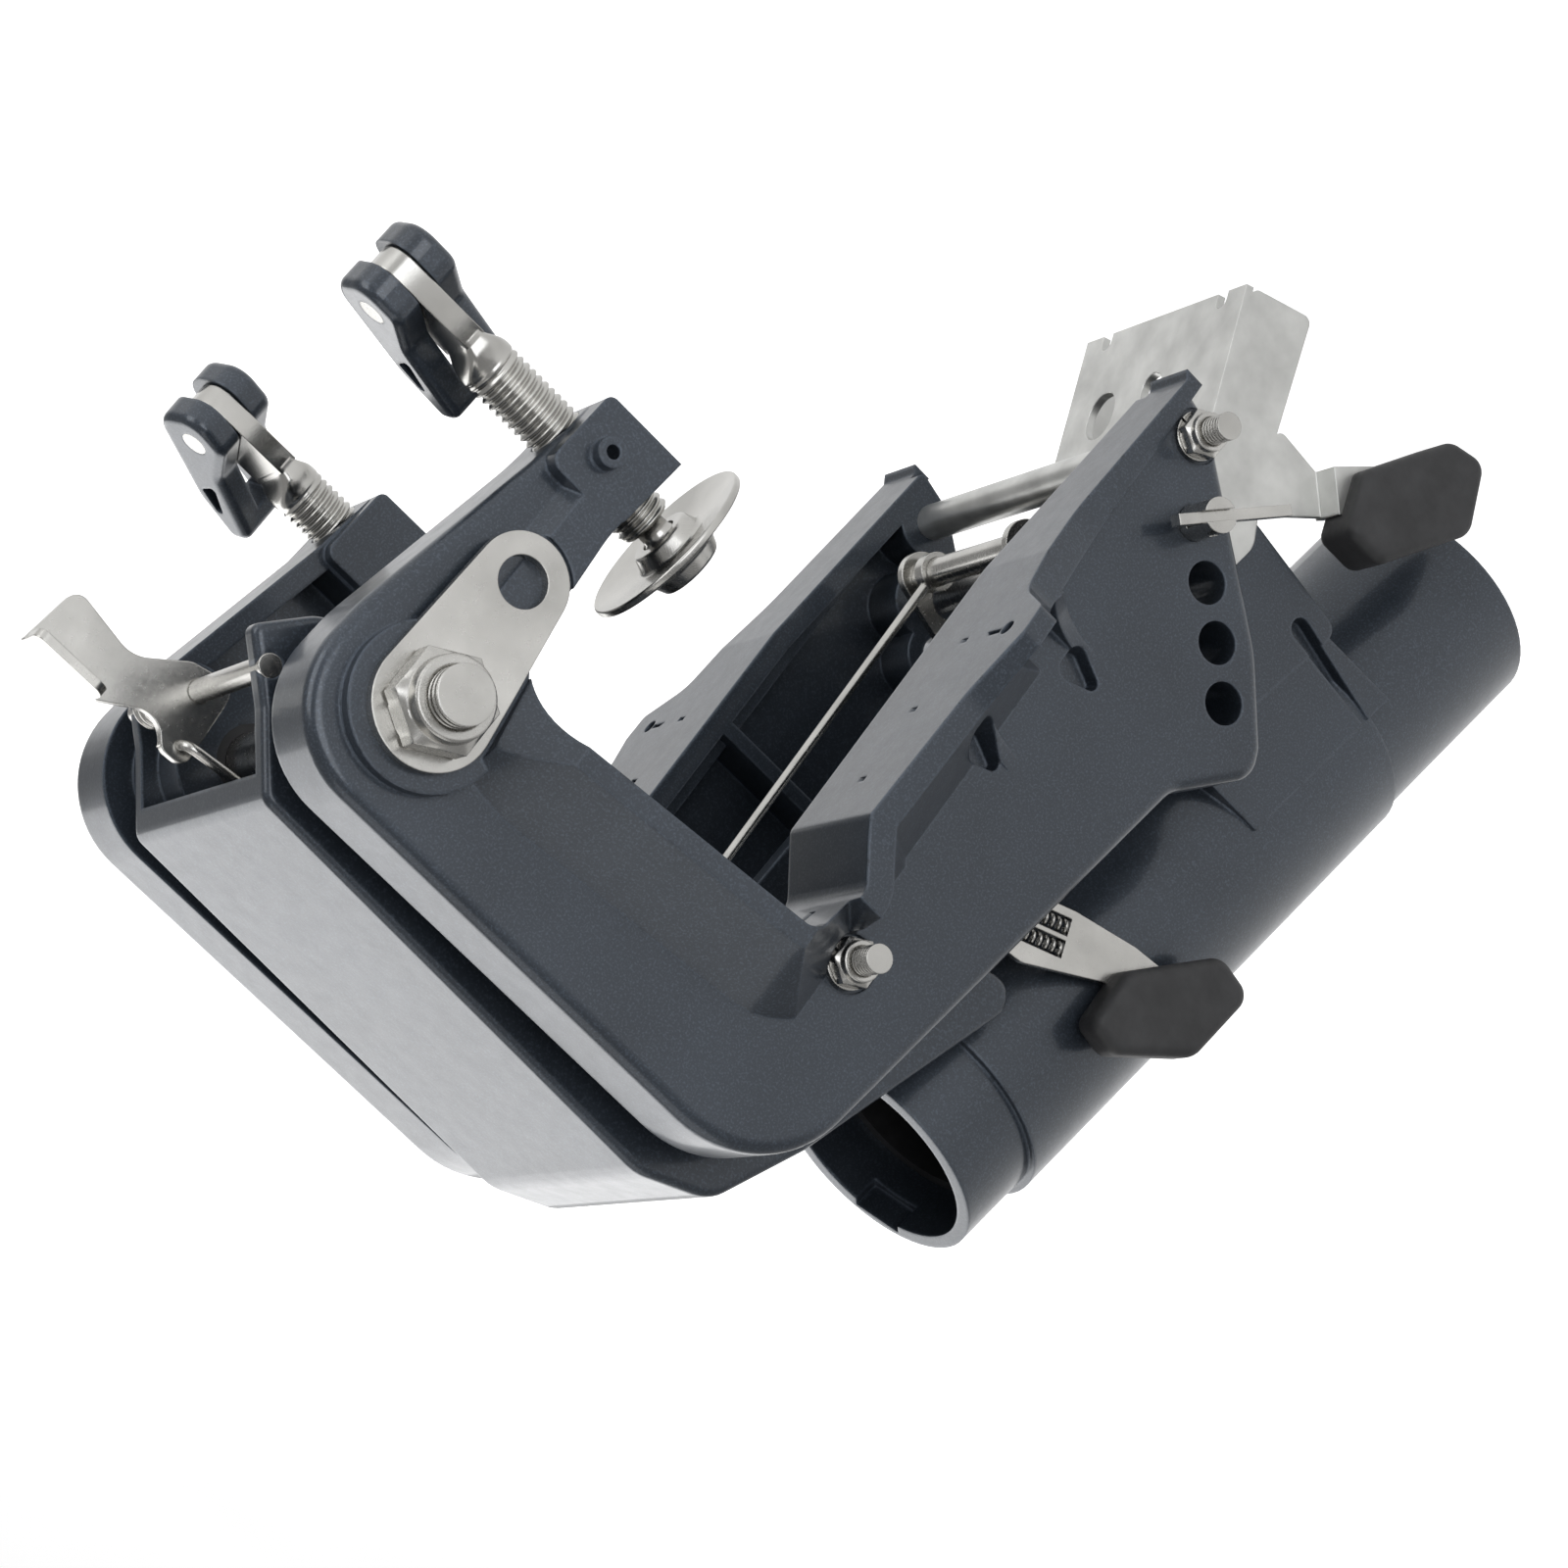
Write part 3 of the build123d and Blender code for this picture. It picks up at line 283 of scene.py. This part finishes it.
def mixed(tree, factor, first, second, kind="MIX"):
    """Two colours mixed by a factor."""
    node = add(tree, "ShaderNodeMixRGB", blend_type=kind)
    for name, value in (("Fac", factor), ("Color1", first), ("Color2", second)):
        if isinstance(value, (int, float)):
            node.inputs[name].default_value = value
        elif isinstance(value, tuple):
            node.inputs[name].default_value = (*value, 1.0)
        else:
            tree.links.new(value, node.inputs[name])
    return node.outputs["Color"]


def rounded(tree, radius):
    """Normal of edges softened by a radius, and a mask of where it differs from the true one."""
    bevel = add(tree, "ShaderNodeBevel", samples=6)
    bevel.inputs["Radius"].default_value = radius
    geometry = tree.nodes.new("ShaderNodeNewGeometry")
    product = add(tree, "ShaderNodeVectorMath", operation="DOT_PRODUCT")
    tree.links.new(bevel.outputs["Normal"], product.inputs[0])
    tree.links.new(geometry.outputs["Normal"], product.inputs[1])
    return bevel.outputs["Normal"], math_node(tree, "SUBTRACT", 1.0, product.outputs["Value"])


def bump(tree, shader, height, strength, distance, normal=None):
    """Bump on a shader, over a normal such as that of softened edges."""
    node = tree.nodes.new("ShaderNodeBump")
    node.inputs["Strength"].default_value = strength
    node.inputs["Distance"].default_value = distance
    tree.links.new(height, node.inputs["Height"])
    if normal:
        tree.links.new(normal, node.inputs["Normal"])
    tree.links.new(node.outputs["Normal"], shader.inputs["Normal"])


def tinted(colour, factor):
    """A colour made lighter or darker by a factor."""
    return tuple(min(1.0, channel * factor) for channel in colour)


def paint_material(finish, name, gloss):
    """Metallic paint: cloudy tone, bright flakes, and a painted highlight along the edges, broken into
    specks.
    """
    material, tree, shader = new_material(name)
    clouds = ((0.3, tinted(finish.paint, 0.84)), (0.7, tinted(finish.paint, 1.16)))
    flakes = ((0.50, (0.0, 0.0, 0.0)), (0.74, tinted(finish.paint, 0.8)))
    cloud = ramp(tree, noise_at(tree, 26.0), clouds)
    flake = ramp(tree, noise_at(tree, 2100.0, 1.0), flakes)
    tone = mixed(tree, 1.0, cloud, flake, "ADD")
    normal, mask = rounded(tree, finish.edge)
    # Painted highlight along the edges, broken into specks: the edge mask lightens the colour towards four
    # times the paint's.
    speckle = math_node(tree, "GREATER_THAN", noise_at(tree, 420.0, 4.0), 0.40)
    highlight_strength = math_node(tree, "MINIMUM", math_node(tree, "MULTIPLY", mask, 2.2), 0.30)
    edge_highlight = math_node(tree, "MULTIPLY", speckle, highlight_strength)
    tree.links.new(mixed(tree, edge_highlight, tone, tinted(finish.paint, 4.2)), shader.inputs["Base Color"])
    shader.inputs["Metallic"].default_value = 0.45
    tree.links.new(spread(tree, noise_at(tree, 240.0), 0.27, 0.42), shader.inputs["Roughness"])
    shader.inputs["Coat Weight"].default_value = gloss
    shader.inputs["Coat Roughness"].default_value = 0.12
    bump(tree, shader, noise_at(tree, 900.0, 2.0), 0.10, 0.0002, normal)
    return material


def steel_material(finish, name, stretch, roughness, thread=None):
    """Bright stainless steel with fine marks along one direction, threaded beyond a face across Y."""
    material, tree, shader = new_material(name)
    normal, mask = rounded(tree, 0.0004)
    clouds = ((0.3, tinted(finish.steel, 0.78)), (0.7, tinted(finish.steel, 1.1)))
    tone = ramp(tree, noise_at(tree, 60.0), clouds)
    # Painted highlight: the edges are lightened towards half again the steel's colour.
    edge_highlight = math_node(tree, "MINIMUM", mask, 0.4)
    tree.links.new(mixed(tree, edge_highlight, tone, tinted(finish.steel, 1.5)), shader.inputs["Base Color"])
    shader.inputs["Metallic"].default_value = 1.0
    marks = noise_at(tree, 900.0, 4.0, stretch)
    tree.links.new(spread(tree, marks, roughness * 0.75, roughness * 1.35), shader.inputs["Roughness"])
    if thread:
        face, pitch = thread
        place = tree.nodes.new("ShaderNodeTexCoord")
        parts = tree.nodes.new("ShaderNodeSeparateXYZ")
        tree.links.new(place.outputs["Object"], parts.inputs["Vector"])
        beyond = math_node(tree, "LESS_THAN", parts.outputs["Y"], face)
        turns = math_node(tree, "MULTIPLY", parts.outputs["Y"], 2 * math.pi / pitch)
        wave = math_node(tree, "MULTIPLY", math_node(tree, "SINE", turns), beyond)
        bump(tree, shader, wave, 1.0, pitch * 0.2, normal)
    else:
        bump(tree, shader, marks, 0.12, 0.00008, normal)
    return material


def zinc_material(finish):
    """Bright plate with the mottling of a plated sheet."""
    material, tree, shader = new_material("bright_plate")
    normal, mask = rounded(tree, 0.0005)
    mottle = ((0.3, tinted(finish.zinc, 0.80)), (0.75, tinted(finish.zinc, 1.12)))
    tone = ramp(tree, noise_at(tree, 110.0, 6.0), mottle)
    # Painted highlight: the edges are lightened towards half again the plate's colour.
    edge_highlight = math_node(tree, "MINIMUM", mask, 0.5)
    tree.links.new(mixed(tree, edge_highlight, tone, tinted(finish.zinc, 1.5)), shader.inputs["Base Color"])
    shader.inputs["Metallic"].default_value = 0.9
    tree.links.new(spread(tree, noise_at(tree, 300.0, 4.0), 0.26, 0.44), shader.inputs["Roughness"])
    bump(tree, shader, noise_at(tree, 420.0, 3.0), 0.15, 0.0002, normal)
    return material


def rubber_material(finish):
    """Matt black moulded rubber with a dusty grain and a painted highlight on its edges."""
    material, tree, shader = new_material("grip_rubber")
    normal, mask = rounded(tree, 0.0016)
    dust = ((0.35, finish.rubber), (0.8, tinted(finish.rubber, 1.9)))
    tone = ramp(tree, noise_at(tree, 120.0, 5.0), dust)
    # Painted highlight: the edges are lightened towards five times the rubber's colour.
    edge_highlight = math_node(tree, "MINIMUM", mask, 0.3)
    tree.links.new(mixed(tree, edge_highlight, tone, tinted(finish.rubber, 5.0)), shader.inputs["Base Color"])
    tree.links.new(spread(tree, noise_at(tree, 500.0), 0.48, 0.66), shader.inputs["Roughness"])
    bump(tree, shader, noise_at(tree, 700.0, 4.0), 0.25, 0.0003, normal)
    return material


def bush_material():
    """Black bearing plastic, slightly polished by running."""
    material, tree, shader = new_material("bush_plastic")
    tone = ramp(tree, noise_at(tree, 200.0), ((0.3, (0.012, 0.012, 0.013)), (0.7, (0.022, 0.022, 0.024))))
    tree.links.new(tone, shader.inputs["Base Color"])
    tree.links.new(spread(tree, noise_at(tree, 600.0), 0.35, 0.55), shader.inputs["Roughness"])
    bump(tree, shader, noise_at(tree, 800.0), 0.1, 0.0002)
    return material


def dress(nodes, material):
    """Give the named CAD nodes one material."""
    for name in nodes:
        node = frame["nodes"][name]
        node.data.materials.clear()
        node.data.materials.append(material)


def shaded_mesh(name, points, faces, material):
    """A smooth mesh object from whole arrays of points and faces."""
    mesh = bpy.data.meshes.new(name)
    mesh.from_pydata(points.tolist(), [], faces.tolist())
    mesh.polygons.foreach_set("use_smooth", [True] * len(mesh.polygons))
    mesh.materials.append(material)
    mesh.update()
    piece = bpy.data.objects.new(name, mesh)
    bpy.context.scene.collection.objects.link(piece)
    return piece


def tube_faces(rows, columns, endless=False):
    """Quads of a surface of rows of closed rings, whose last row may join its first."""
    row, column = np.meshgrid(np.arange(rows if endless else rows - 1), np.arange(columns), indexing="ij")
    following = (column + 1) % columns
    above = (row + 1) % rows
    corners = (row * columns + column, row * columns + following,
               above * columns + following, above * columns + column)
    return np.stack([corner.ravel() for corner in corners], axis=1)


def screw_surface(screw, tip, head, columns=72, steps=14):
    """Points and faces of a clamp screw along +X, from the tip of its ball to where its flare is flat.

    The round part's radius is that of the ball, sqrt(ball^2 - (x - middle)^2), then the neck's, then
    the thread's. The thread is a triangle wave of the travel less the angle, faded out at both ends.
    In the flare each ring is a superellipse, |u|^p + |v|^p = 1, whose power and half widths go from
    round to flat."""
    shank = tip + screw.ball + screw.shoulder
    flat = head - screw.tail
    thread_end = flat - screw.flare
    x_ball = tip + screw.ball * (1 - np.cos(np.linspace(0.12, 2.3, 16)))
    x_shank = np.linspace(shank, thread_end, int((thread_end - shank) / screw.pitch * steps))
    x_flare = np.linspace(thread_end, flat, 24)[1:]
    x = np.concatenate([x_ball, [shank - 0.0002], x_shank, x_flare])[:, None]
    angle = np.linspace(0, 2 * np.pi, columns, endpoint=False)[None, :]
    bulb = np.sqrt(np.clip(screw.ball ** 2 - (x - tip - screw.ball) ** 2, 0, None))
    bulb = np.where(x > tip + screw.ball, np.maximum(bulb, screw.neck), bulb)
    round_part = np.where(x < shank, bulb, screw.radius - np.clip(shank + 0.0008 - x, 0, 0.0008))
    flat_share = np.clip((x - thread_end) / screw.flare, 0, 1)
    flat_share = flat_share * flat_share * (3 - 2 * flat_share)
    bulge = 0.0005 * np.sin(np.pi * flat_share)
    half_thick = round_part + (screw.tongue / 2 - screw.radius) * flat_share
    half_wide = round_part + (screw.width - screw.radius) * flat_share + bulge
    power = 2 + 4 * flat_share
    cosine, sine = np.cos(angle), np.sin(angle)
    ring = (np.abs(cosine) ** power + np.abs(sine) ** power) ** (-1 / power)
    phase = np.mod((x - shank) / screw.pitch - angle / (2 * np.pi), 1)
    ridge = np.clip(1.25 * np.abs(2 * phase - 1) - 0.1, 0, 1)
    fade = np.clip((x - shank) / 0.002, 0, 1) * np.clip((thread_end - x) / 0.003, 0, 1)
    cut = screw.depth * (1 - ridge) * fade
    across = (half_thick - cut) * ring * cosine
    over = (half_wide - cut) * ring * sine
    points = np.stack([np.broadcast_to(x, over.shape), across, over], axis=2).reshape(-1, 3)
    return points, tube_faces(len(x), columns)


def nut_surface(nut, size, centre, seat, columns=96):
    """Points and faces of a lock nut that stands on a seat, faces -Y and has a share of the large size.

    Its profile is a closed list of heights and radii, turned about the axis. Each radius is capped by
    the hexagon's, flats / 2 / cos(angle - the nearest flat's angle)."""
    bore, flats, collar, height = np.array((nut.bore, nut.flats / 2, nut.collar, nut.height)) * size
    corner = flats / math.cos(math.pi / 6)
    profile = np.array([
        (0.96 * height, bore), (height, bore * 1.08), (height, collar * 0.93),
        (0.965 * height, collar * 0.98), (0.68 * height, collar), (0.66 * height, flats * 0.95),
        (0.58 * height, corner), (0.08 * height, corner), (0.02 * height, flats * 1.03),
        (0.0, flats * 0.97), (0.0, bore)])
    angle = np.linspace(0, 2 * np.pi, columns, endpoint=False)[None, :]
    hexagon = flats / np.cos(np.mod(angle, np.pi / 3) - np.pi / 6)
    radius = np.minimum(profile[:, 1:], hexagon)
    across = centre.x + radius * np.sin(angle)
    over = centre.z + radius * np.cos(angle)
    depth = np.broadcast_to(seat - profile[:, :1], radius.shape)
    points = np.stack([across, depth, over], axis=2).reshape(-1, 3)
    return points, tube_faces(len(profile), columns, endless=True)


def tongue_mesh(screw, head):
    """Flat tongue along +X with the pin's hole: a rounded outline and a circle, filled and thickened."""
    sweep = np.linspace(0, np.pi / 2, 9)
    far = np.array([head + screw.nose - screw.corner * (1 - np.sin(sweep)),
                    screw.width - screw.corner * (1 - np.cos(sweep))]).T
    near = np.array([[head - screw.tail - screw.overlap, screw.width]])
    half = np.concatenate([near, far])
    outer = np.concatenate([half, half[::-1] * (1, -1)])
    turn = np.linspace(0, 2 * np.pi, 40, endpoint=False)
    inner = np.array([head + screw.hole * np.cos(turn), screw.hole * np.sin(turn)]).T
    curve = bpy.data.curves.new("tongue", "CURVE")
    curve.dimensions = "2D"
    curve.fill_mode = "BOTH"
    for ring in (outer, inner):
        spline = curve.splines.new("POLY")
        spline.points.add(len(ring) - 1)
        spline.points.foreach_set("co", np.c_[ring, np.zeros(len(ring)), np.ones(len(ring))].ravel())
        spline.use_cyclic_u = True
    curve.extrude = screw.tongue / 2
    holder = bpy.data.objects.new("tongue", curve)
    mesh = bpy.data.meshes.new_from_object(holder)
    bpy.data.objects.remove(holder)
    bpy.data.curves.remove(curve)
    return mesh


def nodes_by_slot():
    """Names of the CAD nodes that share each material slot."""
    slots = {}
    for part in frame["record"]["subparts"]:
        slots.setdefault(part["material_slot"], []).append(part["node"])
    return slots


def threaded_screw(screw, name, node, roll, material):
    """A clamp screw on its own axis: turned surface, closed at both ends, with its tongue."""
    low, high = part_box(node)
    head = high[0] - screw.nose
    piece = shaded_mesh(name, *screw_surface(screw, low[0], head), material)
    tongue = tongue_mesh(screw, head)
    tongue.transform(Matrix.Rotation(math.radians(90.0), 4, "X"))
    work = bmesh.new()
    work.from_mesh(piece.data)
    bmesh.ops.holes_fill(work, edges=[edge for edge in work.edges if edge.is_boundary])
    work.from_mesh(tongue)
    work.to_mesh(piece.data)
    work.free()
    bpy.data.meshes.remove(tongue)
    axis = Vector((0.0, middle_of(node).y, tilt_axis().z + SCREW_DROP))
    piece.data.transform(Matrix.Translation(axis) @ Matrix.Rotation(math.radians(roll), 4, "X"))
    return piece


def lock_nuts(nut, name, node, size, bolts, material):
    """Lock nuts of one size, one on each bolt, all on the same seat."""
    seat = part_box(node)[1][1]
    surfaces = [nut_surface(nut, size, middle_of(bolt), seat) for bolt in bolts]
    count = len(surfaces[0][0])
    points = np.concatenate([surface[0] for surface in surfaces])
    faces = np.concatenate([surface[1] + count * index for index, surface in enumerate(surfaces)])
    piece = shaded_mesh(name, points, faces, material)
    piece.data.set_sharp_from_angle(angle=NUT_CREASE)
    return piece


class OBJECT_OT_bracket_finishes(bpy.types.Operator):
    """Give every CAD piece its finish."""

    bl_idname = "object.bracket_finishes"
    bl_label = "Bracket finishes"

    def execute(self, context):
        finish = context.scene.bracket_finish
        slots = nodes_by_slot()
        even = (1.0, 1.0, 1.0)
        along_y = (1.0, 12.0, 1.0)
        handles = ["clamp_handle_port", "clamp_handle_starboard"]
        tie_bolts = ["tip_tie_bolt", "side_bolt"]
        dress(slots["casting"], paint_material(finish, "casting_paint", 0.45))
        dress(handles, paint_material(finish, "handle_paint", 0.6))
        dress(slots["steel"], steel_material(finish, "bright_steel", along_y, 0.24))
        dress(["tilt_bolt"], steel_material(finish, "bolt_steel", even, 0.24, (NUT_FACE, BOLT_PITCH)))
        dress(tie_bolts, steel_material(finish, "tie_steel", even, 0.22, (TIE_FACE, TIE_PITCH)))
        dress(slots["plate"], zinc_material(finish))
        dress(slots["rubber"], rubber_material(finish))
        dress(slots["bush"], bush_material())
        return {"FINISHED"}


class OBJECT_OT_bracket_screws(bpy.types.Operator):
    """Make both clamp screws with their threads and flattened tongues."""

    bl_idname = "object.bracket_screws"
    bl_label = "Bracket clamp screws"

    def execute(self, context):
        screw = context.scene.bracket_screw
        along_x = (12.0, 1.0, 1.0)
        material = steel_material(context.scene.bracket_finish, "screw_steel", along_x, 0.22)
        for side, roll in SCREW_ROLL.items():
            node = "clamp_screw_" + side
            piece = threaded_screw(screw, "threaded_screw_" + side, node, roll, material)
            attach(piece, "screw_" + side)
            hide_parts(node)
        return {"FINISHED"}


class OBJECT_OT_bracket_nuts(bpy.types.Operator):
    """Make the lock nuts of the tilt bolt and of the two tie bolts."""

    bl_idname = "object.bracket_nuts"
    bl_label = "Bracket lock nuts"

    def execute(self, context):
        nut = context.scene.bracket_nut
        even = (1.0, 1.0, 1.0)
        material = steel_material(context.scene.bracket_finish, "nut_steel", even, 0.26)
        for name, node, size, bolts in NUTS:
            piece = lock_nuts(nut, name, node, size, bolts, material)
            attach(piece, "clamp_frame")
            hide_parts(node)
        return {"FINISHED"}


def area_light(name, place, size, power, colour):
    """A soft oblong light that looks at the lit point."""
    light = bpy.data.lights.new(name, "AREA")
    light.shape = "RECTANGLE"
    light.size, light.size_y = size
    light.energy = power
    light.color = colour
    lamp = bpy.data.objects.new(name, light)
    lamp.location = place
    lamp.rotation_mode = "QUATERNION"
    lamp.rotation_quaternion = (Vector(LIT_POINT) - Vector(place)).to_track_quat("-Z", "Y")
    bpy.context.scene.collection.objects.link(lamp)


def photo_camera(stage):
    """Camera at the photograph's angle, turned about its own line of sight."""
    azimuth, elevation, roll = stage.azimuth, stage.elevation, stage.roll
    back = Vector((math.sin(azimuth) * math.cos(elevation),
                   -math.cos(azimuth) * math.cos(elevation),
                   math.sin(elevation)))
    right = Vector((math.cos(azimuth), math.sin(azimuth), 0.0))
    up = back.cross(right)
    side = math.cos(roll) * right + math.sin(roll) * up
    over = -math.sin(roll) * right + math.cos(roll) * up
    data = bpy.data.cameras.new("photo_camera")
    data.lens = stage.lens
    data.sensor_width = 36.0
    data.clip_start = 0.01
    data.clip_end = 50.0
    camera = bpy.data.objects.new("photo_camera", data)
    camera.matrix_world = Matrix((side, over, back)).transposed().to_4x4()
    camera.location = tilt_axis() + back * stage.distance + side * stage.aside + over * stage.above
    bpy.context.scene.collection.objects.link(camera)
    bpy.context.scene.camera = camera


def studio_world(stage):
    """White as the camera sees it, and a softer white as a light and in reflections."""
    world = bpy.data.worlds.new("studio_white")
    world.use_nodes = True
    tree = world.node_tree
    soft = tree.nodes["Background"]
    white = tree.nodes.new("ShaderNodeBackground")
    for shade, strength in ((soft, stage.fill), (white, 1.0)):
        shade.inputs["Color"].default_value = (1.0, 1.0, 1.0, 1.0)
        shade.inputs["Strength"].default_value = strength
    path = tree.nodes.new("ShaderNodeLightPath")
    mix = tree.nodes.new("ShaderNodeMixShader")
    tree.links.new(path.outputs["Is Camera Ray"], mix.inputs["Fac"])
    tree.links.new(soft.outputs["Background"], mix.inputs[1])
    tree.links.new(white.outputs["Background"], mix.inputs[2])
    tree.links.new(mix.outputs["Shader"], tree.nodes["World Output"].inputs["Surface"])
    bpy.context.scene.world = world


def floor_material(stage):
    """Pale floor that glows to near white as the camera sees it, and keeps its shadow."""
    material, tree, shader = new_material("floor_white")
    tone = ramp(tree, noise_at(tree, 2.0), ((0.3, (0.90, 0.90, 0.90)), (0.7, (0.93, 0.93, 0.93))))
    tree.links.new(tone, shader.inputs["Base Color"])
    shader.inputs["Roughness"].default_value = 0.9
    tree.links.new(tone, shader.inputs["Emission Color"])
    path = tree.nodes.new("ShaderNodeLightPath")
    glow = spread(tree, path.outputs["Is Camera Ray"], stage.floor_light, stage.floor_white)
    tree.links.new(glow, shader.inputs["Emission Strength"])
    return material


def studio_floor(stage):
    """A plain square floor just under the bracket."""
    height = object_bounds()[0].z - stage.floor_gap
    reach = 4.0
    corners = [(-reach, -reach, height), (reach, -reach, height),
               (reach, reach, height), (-reach, reach, height)]
    mesh = bpy.data.meshes.new("floor")
    mesh.from_pydata(corners, [], [(0, 1, 2, 3)])
    mesh.materials.append(floor_material(stage))
    floor = bpy.data.objects.new("floor", mesh)
    bpy.context.scene.collection.objects.link(floor)
    floor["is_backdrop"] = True


class OBJECT_OT_bracket_stage(bpy.types.Operator):
    """Make the white studio: camera, world, floor and lights."""

    bl_idname = "object.bracket_stage"
    bl_label = "Bracket stage"

    def execute(self, context):
        stage = context.scene.bracket_stage
        photo_camera(stage)
        studio_world(stage)
        studio_floor(stage)
        for light in LIGHTS:
            area_light(*light)
        context.scene.view_settings.view_transform = "Standard"
        return {"FINISHED"}


class VIEW3D_PT_bracket(bpy.types.Panel):
    """Lists the bracket's operators and values."""

    bl_label = "Bracket"
    bl_space_type = "VIEW_3D"
    bl_region_type = "UI"
    bl_category = "Bracket"

    def draw(self, context):
        for settings, operator in ((context.scene.bracket_finish, "object.bracket_finishes"),
                                   (context.scene.bracket_screw, "object.bracket_screws"),
                                   (context.scene.bracket_nut, "object.bracket_nuts"),
                                   (context.scene.bracket_stage, "object.bracket_stage")):
            for name in settings.bl_rna.properties.keys():
                if name not in ("rna_type", "name"):
                    self.layout.prop(settings, name)
            self.layout.operator(operator)


CLASSES = (BracketStage, BracketFinish, BracketScrew, BracketNut, OBJECT_OT_bracket_finishes,
           OBJECT_OT_bracket_screws, OBJECT_OT_bracket_nuts, OBJECT_OT_bracket_stage, VIEW3D_PT_bracket)


def register():
    """Register the classes and their settings."""
    for cls in CLASSES:
        bpy.utils.register_class(cls)
    bpy.types.Scene.bracket_stage = bpy.props.PointerProperty(type=BracketStage)
    bpy.types.Scene.bracket_finish = bpy.props.PointerProperty(type=BracketFinish)
    bpy.types.Scene.bracket_screw = bpy.props.PointerProperty(type=BracketScrew)
    bpy.types.Scene.bracket_nut = bpy.props.PointerProperty(type=BracketNut)


def unregister():
    """Take the classes and their settings away again."""
    del bpy.types.Scene.bracket_nut
    del bpy.types.Scene.bracket_screw
    del bpy.types.Scene.bracket_finish
    del bpy.types.Scene.bracket_stage
    for cls in reversed(CLASSES):
        bpy.utils.unregister_class(cls)


def main():
    """Make the looks in order."""
    register()
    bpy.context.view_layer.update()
    bpy.ops.object.bracket_finishes()
    bpy.ops.object.bracket_screws()
    bpy.ops.object.bracket_nuts()
    bpy.ops.object.bracket_stage()


if __name__ == "__main__":
    main()
